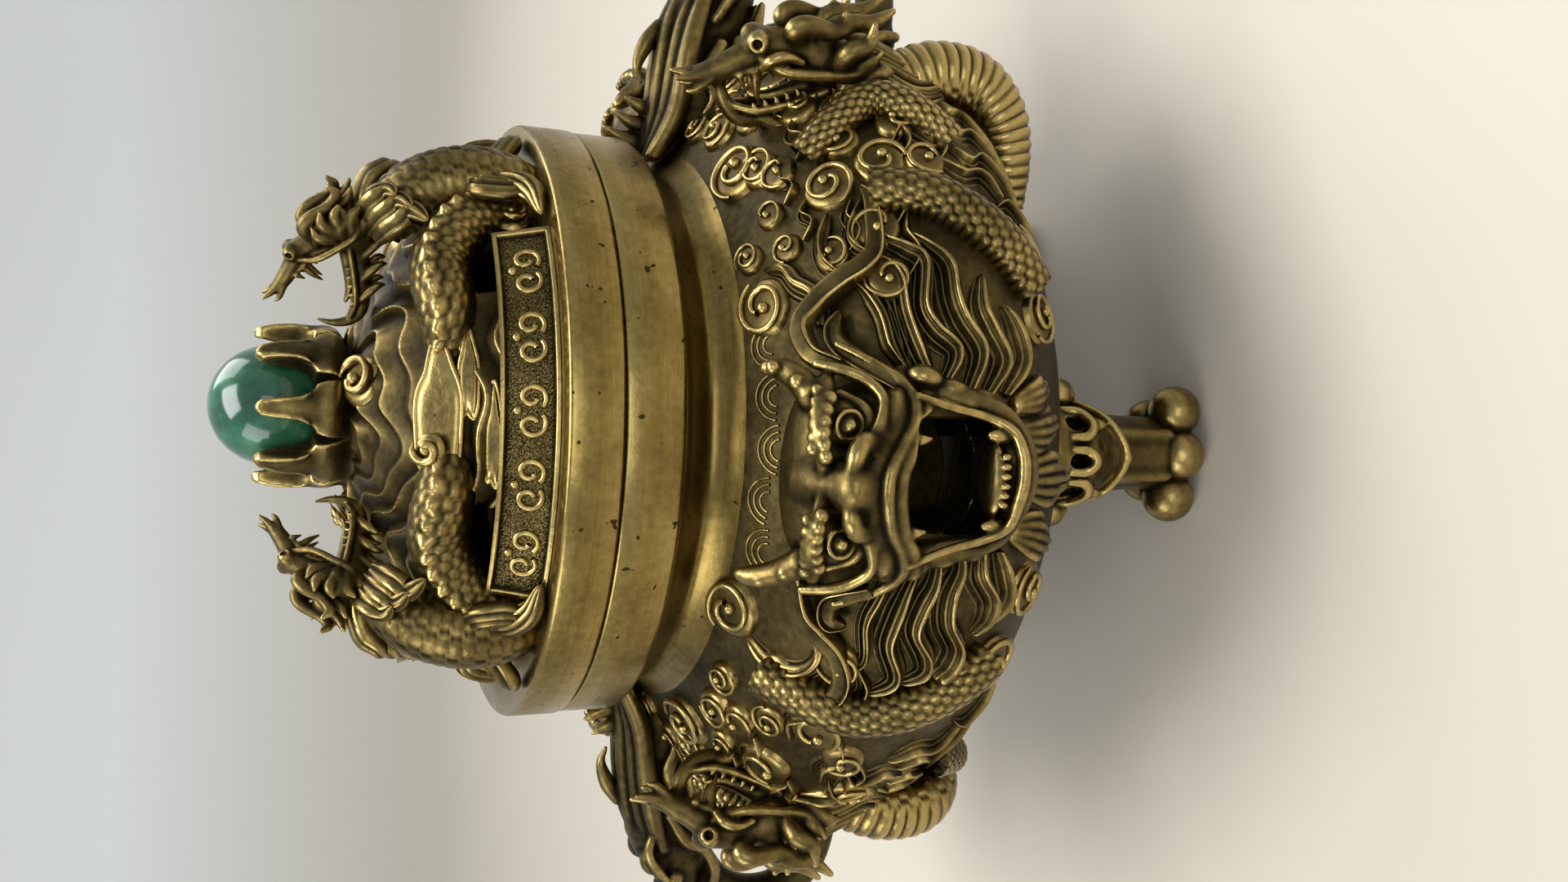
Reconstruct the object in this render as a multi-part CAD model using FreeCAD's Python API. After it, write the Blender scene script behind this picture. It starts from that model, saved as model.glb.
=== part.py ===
"""Lidded tripod incense burner in cast brass, with a turning inner damper, a lift-off lid and a green stone pearl.

Frame: +Z up, origin on the burner's axis at the floor, front mask facing -Y, handles along X. Millimetres.
An angle "az" is measured round +Z from the front (-Y) towards +X.
"""
import FreeCAD, Part
import math
import os

V = FreeCAD.Vector
Z_AXIS = V(0, 0, 1)

# Driving dimensions
LEG_H = 50.0             # floor to the underside of the bowl
BELLY_R = 125.0
NECK_R = 80.0
RIM_R = 89.5
RIM_Z = 190.0            # top of the bowl's rim
WALL = 3.6
RELIEF = 4.0             # height of the raised hair and cloud fields on the belly
SEAM = 0.3               # gap between the rim and the lid
LID_R = 90.0
LID_TOP = 205.0          # flat top of the lid's flange
LID_TURN = 8.0           # how far the lid is turned on the bowl, degrees
LEG_TURN = 2.0           # how far the legs stand from under the masks, degrees
PEARL_R = 17.5
PEARL = V(3.0, 0.0, 270.5)
SLEEVE_R = 73.0
SLEEVE_WALL = 2.0
FRONT_REACH = 140.0      # how far the masks and side dragons stand out from the axis
HANDLE_REACH = 172.0
MOUTH_W, MOUTH_H = 28.0, 24.0
MOUTH_Z = 105.0          # lower edge of the way through a mask's mouth
WINDOW_FROM, WINDOW_ARC = 5.0, 40.0  # where the damper's windows start, from the masks, and their width, degrees
MASK_AZ = (0.0, 120.0, 240.0)
DRAGON_AZ = (60.0, 180.0, 300.0)
THIRD = ("front", "rear_right", "rear_left")
SIDE = ("right", "rear", "left")

OUTER = [(56, 50), (70, 52), (88, 59), (104, 70), (116, 84), (123, 98), (BELLY_R, 110), (124, 120),
         (118, 133), (108, 143), (97, 150), (89, 154.5), (83.5, 158.5), (NECK_R, 164), (83.5, 170), (89, 174)]


# Helpers
def polar(rho, az, z):
    """A point at radius rho, angle az from the front, height z."""
    a = math.radians(az)
    return V(rho * math.sin(a), -rho * math.cos(a), z)


def turned(shape, az):
    """A copy of shape, made facing the front, turned round the axis to az."""
    copy = shape.copy()
    copy.rotate(V(0, 0, 0), Z_AXIS, az)
    return copy


def smooth(points):
    """A smooth edge through (r, z) points."""
    curve = Part.BSplineCurve()
    curve.interpolate([V(r, 0, z) for r, z in points])
    return curve.toShape()


def line(a, b):
    return Part.makeLine(V(a[0], 0, a[1]), V(b[0], 0, b[1]))


def chain(points):
    """Straight edges through (r, z) points."""
    return [line(a, b) for a, b in zip(points, points[1:])]


def revolve(edges, angle=360.0, start=0.0):
    """Turns a closed outline of edges in the XZ plane round the axis, from az start."""
    face = Part.Face(Part.Wire(Part.__sortEdges__(edges)))
    solid = face.revolve(V(0, 0, 0), Z_AXIS, angle)
    solid.rotate(V(0, 0, 0), Z_AXIS, start - 90.0)
    return solid


def ring(r0, r1, z0, z1):
    return Part.makeCylinder(r1, z1 - z0, V(0, 0, z0)).cut(Part.makeCylinder(r0, z1 - z0, V(0, 0, z0)))


def ellipsoid(centre, radii, lean=0.0):
    """An ellipsoid with radii along X, Y and Z, leaned about X by lean degrees."""
    matrix = FreeCAD.Matrix()
    matrix.scale(V(*radii))
    shape = Part.makeSphere(1.0).transformGeometry(matrix)
    shape.rotate(V(0, 0, 0), V(1, 0, 0), lean)
    shape.translate(centre)
    return shape


def rod(a, b, ra, rb):
    """A round bar from a to b that tapers from ra to rb."""
    axis = b.sub(a)
    if abs(ra - rb) < 1e-6:
        return Part.makeCylinder(ra, axis.Length, a, axis)
    return Part.makeCone(ra, rb, axis.Length, a, axis)


def tube(points, radii):
    """A round bar through points, with a ball at each, fused."""
    pieces = [Part.makeSphere(r, p) for p, r in zip(points, radii)]
    pieces += [rod(a, b, ra, rb) for a, b, ra, rb in zip(points, points[1:], radii, radii[1:])]
    return pieces[0].multiFuse(pieces[1:]).removeSplitter()


def screw(head, tip, head_r=4.5, head_h=3.5, shank_r=2.5):
    """A cheese-head screw whose head starts at head and whose shank ends at tip."""
    axis = tip.sub(head)
    axis.normalize()
    neck = head.add(V(axis.x, axis.y, axis.z).multiply(head_h))
    return rod(head, neck, head_r, head_r).fuse(rod(neck, tip, shank_r, shank_r)).removeSplitter()


def group(shapes):
    return Part.makeCompound(shapes)


def largest(shape):
    """The largest solid of shape, without slivers."""
    return max(shape.Solids, key=lambda s: s.Volume)


def save(name, shape):
    shape.exportStep(f"parts/{name}.step")
    print(f"{name:22s} solids {len(shape.Solids)}  volume {shape.Volume / 1000:8.1f} cm3  valid {shape.isValid()}")


# The bowl, with its belly, neck and rim, the raised relief fields and the pads for the screws
def bowl_outside(grow=0.0):
    points = [(r + grow, z) for r, z in OUTER]
    top = [points[-1], (RIM_R + grow, RIM_Z), (0, RIM_Z), (0, LEG_H - grow), (points[0][0], LEG_H - grow)]
    edges = [smooth(points)] + chain(top)
    if grow:
        edges.append(line((points[0][0], LEG_H - grow), points[0]))
    return revolve(edges)


def inset(points, depth):
    """The (r, z) points moved inwards by depth, square to the line through them."""
    moved = [(points[0][0], points[0][1] + depth)]
    for before, here, after in zip(points, points[1:], points[2:]):
        dr, dz = after[0] - before[0], after[1] - before[1]
        length = math.hypot(dr, dz)
        moved.append((here[0] - depth * dz / length, here[1] + depth * dr / length))
    return moved


def bowl_inside():
    wall = inset(OUTER[:-1], WALL) + [(78, 172)]
    ledge = [wall[-1], (78, 186), (83.5, 186), (83.5, RIM_Z + 1), (0, RIM_Z + 1), (0, LEG_H + WALL), wall[0]]
    return revolve([smooth(wall)] + chain(ledge))


def mouth_hole():
    """The way through a dragon mask's mouth, facing the front."""
    hole = Part.makeBox(MOUTH_W, 60, MOUTH_H, V(-MOUTH_W / 2, -150, MOUTH_Z))
    upright = [e for e in hole.Edges if abs(e.tangentAt(0).y) > 0.9]
    return hole.makeFillet(4.0, upright)


def relief_field(outside, az0, az1):
    """A raised field on the belly between two angles."""
    shell = bowl_outside(RELIEF).common(ring(70, 140, 66, 147)).cut(outside)
    wedge = Part.makeCylinder(150, 90, V(0, 0, 62), Z_AXIS, az1 - az0)
    wedge.rotate(V(0, 0, 0), Z_AXIS, az0 - 90.0)
    return shell.common(wedge)


LEG_AXIS_R = 78.0
LEG_SCREW = screw(V(0, -LEG_AXIS_R, 67), V(0, -LEG_AXIS_R, 34))
HANDLE_SCREWS = [screw(V(90, 0, 142), V(116, 0, 142)), screw(V(100, 0, 86), V(126, 0, 86))]
DRAGON_SCREW = screw(V(0, -108, 104), V(0, -132, 104))


def bowl(outside):
    body = outside.cut(bowl_inside())
    pads = [turned(Part.makeCylinder(8, 10, V(0, -LEG_AXIS_R, 53.5)), az + LEG_TURN) for az in MASK_AZ]
    for side in (0, 180):
        pads.append(turned(Part.makeCylinder(7, 11, V(93.5, 0, 142), V(1, 0, 0)), side))
        pads.append(turned(Part.makeCylinder(7, 12, V(103.5, 0, 86), V(1, 0, 0)), side))
    pads += [turned(Part.makeCylinder(7, 11, V(0, -111.5, 104), V(0, -1, 0)), az) for az in DRAGON_AZ]
    body = body.multiFuse([pad.common(outside) for pad in pads])
    fields = []
    for az in MASK_AZ:
        fields += [relief_field(outside, az + 15, az + 44), relief_field(outside, az - 44, az - 15)]
    body = body.multiFuse(fields)
    for az in MASK_AZ:
        body = body.cut(turned(mouth_hole(), az))
        body = body.cut(turned(LEG_SCREW, az + LEG_TURN))
    for az in DRAGON_AZ:
        body = body.cut(turned(DRAGON_SCREW, az))
    for side in (0, 180):
        for one in HANDLE_SCREWS:
            body = body.cut(turned(one, side))
    return largest(body)


# A dragon mask, facing the front: brow, eyes, nose, cheeks and the lips round the open mouth
def mask(outside):
    face = ellipsoid(V(0, -108, 127), (31, 25, 31), -8)
    brow = ellipsoid(V(0, -112, 149), (30, 14, 8))
    nose = Part.makeSphere(8.5, V(0, -(FRONT_REACH - 8.5), 143))
    eyes = [Part.makeSphere(6.5, V(x, -118, 143)) for x in (-15, 15)]
    lip = tube([V(-17, -122, 102), V(-9, -131, 98), V(9, -131, 98), V(17, -122, 102)], [4, 5, 5, 4])
    block = face.multiFuse([brow, nose, lip] + eyes)
    return largest(block.cut(outside).cut(mouth_hole()))


# A side dragon, facing the front: a scaled neck that rises off the belly and an open-mouthed head
def side_dragon(outside):
    neck = tube([V(-6, -108, 76), V(-4, -120, 74), V(0, -129, 82), V(0, -130, 96), V(0, -127, 110)],
                [7, 9, 10, 10, 11])
    mane = ellipsoid(V(0, -123, 120), (15, 12, 15))
    skull = ellipsoid(V(0, -126, 136), (11, 12, 11))
    upper_jaw = tube([V(0, -129, 138), V(0, -(FRONT_REACH - 7.5), 150), V(0, -125, 163)], [9, 7.5, 5])
    lower_jaw = tube([V(0, -120, 134), V(0, -109, 150)], [7, 4.5])
    body = neck.multiFuse([mane, skull, upper_jaw, lower_jaw])
    return largest(body.cut(outside).cut(DRAGON_SCREW))


# A handle, on the +X side: a horned head at the neck and a round loop that comes back to the belly
def handle(outside):
    loop = tube([V(100, 0, 141), V(122, 0, 147), V(143, 0, 146), V(157, 0, 139), V(HANDLE_REACH - 9, 0, 124), V(161, 0, 106),
                 V(150, 0, 91), V(134, 0, 83), V(117, 0, 86)],
                [8, 9, 10, 10, 9, 7.5, 6.5, 6, 6.5])
    head = ellipsoid(V(128, 0, 148), (20, 11, 9))
    horns = [tube([V(96, y, 152), V(112, 1.5 * y, 157), V(126, 1.5 * y, 156)], [3.5, 4, 3]) for y in (-6, 6)]
    whole = loop.multiFuse([head] + horns).cut(outside)
    for one in HANDLE_SCREWS:
        whole = whole.cut(one)
    return largest(whole)


# A leg, at the front: a lion mask at the knee, a tapered shin and a foot of round toes
TOE_R = 8.0
FRONT_TOE_R = 80.5       # from the burner's axis to the toe that points outwards
TOE_FLAT = 0.5


def leg(outside):
    shin = tube([V(0, -LEG_AXIS_R - 1, 50), V(0, -LEG_AXIS_R + 1, 34), V(0, -74, 18), V(0, -72, 10)],
                [14, 12.5, 11, 10])
    knee = ellipsoid(V(0, -LEG_AXIS_R - 2, 51), (18, 17, 12))
    toe_z = TOE_R - TOE_FLAT
    toes = [Part.makeSphere(TOE_R, V(x, back - FRONT_TOE_R, toe_z))
            for x, back in ((0, 0), (-13.5, 3.5), (13.5, 3.5), (-8.5, 15), (8.5, 15))]
    body = shin.multiFuse([knee] + toes)
    floor = Part.makeBox(60, 60, 20, V(-30, -100, -20))
    body = body.cut(floor).cut(outside).cut(LEG_SCREW)
    return largest(body)


# The damper: a sleeve that hangs in the neck, with three windows that meet the mouths as it turns
def damper():
    wall = ring(SLEEVE_R - SLEEVE_WALL, SLEEVE_R, 72, 189.2)
    lip = ring(SLEEVE_R - 0.5, 82.8, 186.3, 189.2)
    body = wall.fuse(lip)
    for az in MASK_AZ:
        window = Part.makeCylinder(90, 64, V(0, 0, 76), Z_AXIS, WINDOW_ARC)
        window.rotate(V(0, 0, 0), Z_AXIS, az + WINDOW_FROM - 90.0)
        body = body.cut(window)
    for side in (LID_TURN, LID_TURN + 180):
        body = body.cut(turned(Part.makeBox(8, 12, 12, V(-4, -77, 181)), side))
    return largest(body.removeSplitter())


def ash_dish():
    floor = LEG_H + WALL
    section = chain([(0, floor), (52, floor), (60, 68), (57.5, 68), (50.3, floor + 2.5), (0, floor + 2.5), (0, floor)])
    return revolve(section)


# The lid: a deep flange with a spigot and two driving lugs, and an openwork dome
DOME_OUT = [(72, 205), (67, 216), (58, 227), (46, 237), (32, 245), (20, 249)]
DOME_IN = [(67.5, 205), (63, 214), (54.5, 224), (43.5, 233), (31, 240.5), (20, 244.5)]
WINDOW_AZ = [az + side for az in DRAGON_AZ for side in (-26, 26)]


def dome(grow=0.0):
    """The closed outer form of the dome, for trimming what stands on it."""
    points = [(r + grow, z + grow) for r, z in DOME_OUT]
    base = [points[-1], (0, points[-1][1]), (0, 200), (points[0][0], 200), points[0]]
    return revolve([smooth(points)] + chain(base))


def lid():
    flange = chain([(90, RIM_Z + SEAM), (90, 205), (66, 205), (66, 181), (70, 181), (70, 199), (85, 199),
                    (85, RIM_Z + SEAM), (90, RIM_Z + SEAM)])
    shell = [smooth(DOME_OUT), line(DOME_OUT[-1], DOME_IN[-1]), smooth(DOME_IN), line(DOME_IN[0], (67.5, 203)),
             line((67.5, 203), (72, 203)), line((72, 203), DOME_OUT[0])]
    crown = Part.makeCylinder(20.5, 4.5, V(0, 0, 244.5))
    body = revolve(flange).multiFuse([revolve(shell), crown])
    for side in (0, 180):
        body = body.fuse(turned(Part.makeBox(6, 7, 17.5, V(-3, -76, 183)), side))
    for az in WINDOW_AZ:
        window = Part.makeBox(22, 40, 15, V(-11, -85, 212))
        edges = [e for e in window.Edges if abs(e.tangentAt(0).y) > 0.9]
        body = body.cut(turned(window.makeFillet(5.0, edges), az))
    return largest(body.cut(FINIAL_STUD))


# The plaque, a leaning band with a raised border
def plaque():
    section = chain([(81.5, 205), (77.5, 219.5), (74.5, 219.5), (78.0, 205), (81.5, 205)])
    band = revolve(section, 74.0, -37.0)
    field = chain([(82.5, 207.2), (78.5, 217.3), (77.1, 217.3), (80.0, 207.2), (82.5, 207.2)])
    return largest(band.cut(revolve(field, 70.0, -35.0)))


# A lid dragon, facing the front of the lid: two coils over the windows, a neck and a head that looks at the pearl
def lid_dragon(closed_dome):
    pieces = []
    for side in (-1, 1):
        path = [polar(65, side * 38, 220), polar(61, side * 30, 231), polar(60.5, side * 21, 233),
                polar(64.5, side * 12, 226), polar(68.5, side * 7, 214.5)]
        pieces.append(tube(path, [5, 6, 6.4, 6.3, 5.8]))
    pieces.append(tube([V(0, -68.3, 213.2), V(0, -67.6, 226.4), V(0, -62, 237)], [8.6, 8.4, 8]))
    pieces.append(ellipsoid(V(0, -57, 243), (9.5, 12, 9), 30))
    pieces.append(tube([V(0, -52, 249), V(0, -43, 260)], [6.5, 4.5]))
    pieces.append(tube([V(0, -51, 243), V(0, -38, 246.5)], [5.5, 3]))
    body = pieces[0].multiFuse(pieces[1:]).cut(closed_dome)
    body = body.cut(Part.makeBox(200, 200, 20, V(-100, -100, 185)))
    return largest(body)


# The finial: a cloud mound and a cup of eight claws round the pearl, held by a stud and nut; the pearl turns on a pin
FINIAL_STUD = rod(V(0, 0, 236), V(0, 0, 252.3), 2.5, 2.5)
CLAWS = 8
MOUND_TOP = 251.0
PIN_R = 1.2
PIN_TOP = 258.0


def cloud_mound():
    section = [smooth([(33, 249), (29, 250.2), (21, 250.8), (14, MOUND_TOP)])]
    section += chain([(14, MOUND_TOP), (0, MOUND_TOP), (0, 249), (33, 249)])
    return largest(revolve(section).cut(FINIAL_STUD))


def claw_cup():
    outer = [(11, MOUND_TOP), (13, 255), (19, 259), (23.6, 265), (24.4, 271), (23.2, 279)]
    inner = [(20.6, 279), (21.6, 271), (20.4, 265), (15.5, 258), (10, 252.7)]
    outline = [smooth(outer), line(outer[-1], inner[0]), smooth(inner)]
    outline += chain([inner[-1], (0, 252.7), (0, MOUND_TOP), outer[0]])
    cup = revolve(outline)
    cup.translate(V(PEARL.x, PEARL.y, 0))
    cup = cup.cut(Part.makeSphere(PEARL_R + 0.3, PEARL))
    for k in range(CLAWS):
        gap = Part.makeCylinder(4.6, 30, V(0, 0, 270), V(0, -1, 0)).fuse(Part.makeBox(9.2, 30, 12, V(-4.6, -30, 270)))
        gap = turned(gap, 360.0 / CLAWS * (k + 0.5))
        gap.translate(V(PEARL.x, PEARL.y, 0))
        cup = cup.cut(gap)
    pin = Part.makeCylinder(PIN_R, PIN_TOP - 252.0, V(PEARL.x, PEARL.y, 252.0))
    return largest(cup.cut(FINIAL_STUD).fuse(pin))


def pearl():
    """The stone ball, drilled from below for its pin."""
    hole = Part.makeCylinder(PIN_R + 0.3, PIN_TOP + 0.5 - 250.0, V(PEARL.x, PEARL.y, 250.0))
    return Part.makeSphere(PEARL_R, PEARL).cut(hole)


def finial_nut():
    corners = [V(5 * math.cos(math.radians(a)), 5 * math.sin(math.radians(a)), 240.5) for a in range(0, 361, 60)]
    prism = Part.Face(Part.makePolygon(corners)).extrude(V(0, 0, 4))
    return prism.cut(FINIAL_STUD)


def main():
    os.makedirs("parts", exist_ok=True)
    outside = bowl_outside()
    save("bowl", bowl(outside))
    one_mask, one_dragon, one_leg = mask(outside), side_dragon(outside), leg(outside)
    for name, az in zip(THIRD, MASK_AZ):
        save(f"mask_{name}", turned(one_mask, az))
        save(f"leg_{name}", turned(one_leg, az + LEG_TURN))
    for name, az in zip(SIDE, DRAGON_AZ):
        save(f"side_dragon_{name}", turned(one_dragon, az))
    one_handle = handle(outside.fuse(relief_field(outside, 75, 106)))
    save("handle_right", one_handle)
    save("handle_left", turned(one_handle, 180))
    save("leg_screws", group([turned(LEG_SCREW, az + LEG_TURN) for az in MASK_AZ]))
    save("dragon_screws", group([turned(DRAGON_SCREW, az) for az in DRAGON_AZ]))
    save("handle_screws", group([turned(s, side) for side in (0, 180) for s in HANDLE_SCREWS]))
    save("ash_dish", ash_dish())
    save("damper_sleeve", damper())
    closed_dome = dome()
    save("lid", turned(lid(), LID_TURN))
    save("plaque", turned(plaque(), LID_TURN))
    one_lid_dragon = lid_dragon(closed_dome)
    for name, az in zip(SIDE, DRAGON_AZ):
        save(f"lid_dragon_{name}", turned(one_lid_dragon, az + LID_TURN))
    save("cloud_mound", cloud_mound())
    save("claw_cup", claw_cup())
    save("finial_stud", FINIAL_STUD)
    save("finial_nut", finial_nut())
    save("pearl", pearl())


main()
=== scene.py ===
"""Looks of a lidded brass tripod incense burner with dragon relief.

Shapes are built in millimetres and become objects in metres. A part is a tuple of points, quads and lift,
where lift says how bright each point is painted: darker for patina and painted shade in hollows, brighter for
rubbed wear and painted highlight on raised places.
"""
import math
import bpy
import numpy as np
import openvdb
from mathutils import Euler, Matrix, Vector


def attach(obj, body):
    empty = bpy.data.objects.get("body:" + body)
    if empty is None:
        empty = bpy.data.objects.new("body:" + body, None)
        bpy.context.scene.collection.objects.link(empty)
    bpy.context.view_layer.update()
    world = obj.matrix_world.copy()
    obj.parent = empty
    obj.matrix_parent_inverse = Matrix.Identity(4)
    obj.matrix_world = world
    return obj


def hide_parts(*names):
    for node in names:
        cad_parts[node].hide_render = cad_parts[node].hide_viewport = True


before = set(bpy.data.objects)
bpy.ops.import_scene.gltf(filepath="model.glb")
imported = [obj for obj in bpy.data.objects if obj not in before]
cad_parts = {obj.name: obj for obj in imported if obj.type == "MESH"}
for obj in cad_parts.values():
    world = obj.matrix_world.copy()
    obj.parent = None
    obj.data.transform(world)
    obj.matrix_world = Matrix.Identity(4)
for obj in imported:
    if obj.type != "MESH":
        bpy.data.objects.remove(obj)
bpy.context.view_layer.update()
rng = np.random.default_rng(7)
MM = 0.001
MASKS = {"front": 0.0, "rear_right": 120.0, "rear_left": 240.0}
SIDE_DRAGONS = {"right": 60, "rear": 180, "left": 300}
LID_DRAGONS = {"right": 56, "rear": 180, "left": 311}
LID_TURN = 8.0
LEG_TURN = 2.0
PEARL = np.array((3.0, 0.0, 270.5))
PEARL_R = 17.5
CUP_R = PEARL_R + 0.9
WALL = 3.6


# Curves and meshes
def spline(rows, per=8):
    """A smooth curve through rows of numbers."""
    p = np.asarray(rows, float)
    p = np.vstack([2 * p[0] - p[1], p, 2 * p[-1] - p[-2]])
    t = np.linspace(0, 1, per, endpoint=False)[:, None]
    spans = [0.5 * (2 * b + (c - a) * t + (2 * a - 5 * b + 4 * c - d) * t ** 2
                    + (3 * b - a - 3 * c + d) * t ** 3)
             for a, b, c, d in zip(p, p[1:], p[2:], p[3:])]
    return np.vstack(spans + [p[-2:-1]])


def evenly(points, step, *more):
    """Points respaced along their own length, their share of it, and other values carried along."""
    gaps = np.linalg.norm(np.diff(points, axis=0), axis=1)
    run = np.concatenate([[0], np.cumsum(gaps)])
    count = max(4, int(run[-1] / step) + 1)
    at = np.linspace(0, run[-1], count)
    out = np.stack([np.interp(at, run, c) for c in points.T], 1)
    carried = [np.interp(at, run, m) for m in more]
    return [out, at / run[-1]] + carried


def unit(v):
    """Directions of length one."""
    return v / np.maximum(np.linalg.norm(v, axis=-1, keepdims=True), 1e-9)


def grid_faces(rows, cols, close=False):
    """The quads of a grid of points."""
    a = np.arange(rows * cols).reshape(rows, cols)
    b = np.roll(a, -1, 1)
    if not close:
        a, b = a[:, :-1], b[:, :-1]
    return np.stack([a[:-1], b[:-1], b[1:], a[1:]], -1).reshape(-1, 4)


def around(count):
    """Angles once round."""
    return np.linspace(0, 2 * np.pi, count, endpoint=False)[None]


def skin(v, lift, close=True):
    """A part from a grid of points. close joins the last column to the first."""
    n, m = v.shape[:2]
    return v.reshape(-1, 3), grid_faces(n, m, close), np.broadcast_to(lift, (n, m)).reshape(-1).astype(float)


def sweep(path, normals, across, high, close=False, lift=0.5):
    """A skin of sections along a path. across and high are each section's offsets, one row a section."""
    along = unit(np.gradient(path, axis=0))
    side = unit(np.cross(along, normals))
    up = np.cross(side, along)
    v = path[:, None] + side[:, None] * across[..., None] + up[:, None] * high[..., None]
    return skin(v, lift, close)


def outwards(part):
    """The part with its faces turned away from the burner's middle, or outwards if it is closed."""
    v, f, lift = part
    a, b, c, d = (v[f[:, k]] for k in range(4))
    across = np.cross(c - a, d - b)
    closed = np.linalg.norm(across.sum(0)) < 0.1 * np.linalg.norm(across, axis=1).sum()
    inside = v.mean(0) if closed else np.array((0, 0, 110))
    facing = (across * ((a + b + c + d) / 4 - inside)).sum()
    return (v, f, lift) if facing > 0 else (v, f[:, ::-1], lift)


def join(parts):
    """One part from many, each of points, quads and lift."""
    parts = [outwards(part) for part in parts]
    shift = np.cumsum([0] + [len(part[0]) for part in parts])
    return (np.concatenate([part[0] for part in parts]),
            np.concatenate([part[1] + first for part, first in zip(parts, shift)]),
            np.concatenate([np.broadcast_to(part[2], len(part[0])) for part in parts]))


def moved(part, matrix):
    m = np.array(matrix)
    return part[0] @ m[:3, :3].T + m[:3, 3], part[1], part[2]


def turned(part, degrees):
    return moved(part, Matrix.Rotation(math.radians(degrees), 4, "Z"))


def relief(v, f, normals, reach):
    """How far each point stands out of its surroundings, in millimetres."""
    a = np.concatenate([f[:, 0], f[:, 1], f[:, 2], f[:, 3]])
    b = np.concatenate([f[:, 1], f[:, 2], f[:, 3], f[:, 0]])
    i, j = np.concatenate([a, b]), np.concatenate([b, a])
    edge = np.linalg.norm(v[a] - v[b], axis=1).mean()
    share = 1 / np.maximum(np.bincount(i, minlength=len(v)), 1)
    soft = v.copy()
    for _ in range(int(np.clip(2 * (reach / edge) ** 2, 1, 60))):
        pulled = np.stack([np.bincount(i, soft[j, k], len(v)) for k in range(3)], 1) * share[:, None]
        soft = 0.5 * soft + 0.5 * pulled
    return ((v - soft) * normals).sum(1)


# How far each kind of relief looks, the height that counts as full, and how much it brightens or darkens the
# colour: painted highlight on heights and painted shade in hollows, along with patina and wear
FINE_RELIEF = (0.9, 0.16, 0.26)
BROAD_RELIEF = (2.6, 0.6, 0.34)


def piece(name, parts, material, body, replaces=(), keen=1.0):
    """One visible object from parts. keen is how strongly its relief shows in its colour, as patina and
    painted shade in hollows and as wear and painted highlight on heights.
    """
    v, f, lift = join(parts)
    mesh = bpy.data.meshes.new(name)
    mesh.vertices.add(len(v))
    mesh.vertices.foreach_set("co", (v * MM).astype(np.float32).ravel())
    mesh.loops.add(f.size)
    mesh.loops.foreach_set("vertex_index", f.astype(np.int32).ravel())
    mesh.polygons.add(len(f))
    mesh.polygons.foreach_set("loop_start", np.arange(0, f.size, 4, dtype=np.int32))
    mesh.update(calc_edges=True)
    mesh.validate()
    mesh.shade_smooth()
    normals = np.zeros(len(v) * 3, np.float32)
    mesh.vertex_normals.foreach_get("vector", normals)
    normals = normals.reshape(-1, 3)
    # Painted shade in hollows and painted highlight on raised places, together with patina and wear, from how
    # far each point stands out
    patina_wear_and_shade = sum(gain * np.clip(relief(v, f, normals, reach) / full_at, -1, 1)
               for reach, full_at, gain in (FINE_RELIEF, BROAD_RELIEF))
    shade = np.clip(lift + keen * patina_wear_and_shade, 0, 1)
    mesh.attributes.new("relief", "FLOAT", "POINT").data.foreach_set("value", shade.astype(np.float32))
    obj = bpy.data.objects.new(name, mesh)
    bpy.context.scene.collection.objects.link(obj)
    mesh.materials.append(material)
    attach(obj, body)
    if replaces:
        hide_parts(*replaces)
    return obj


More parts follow.
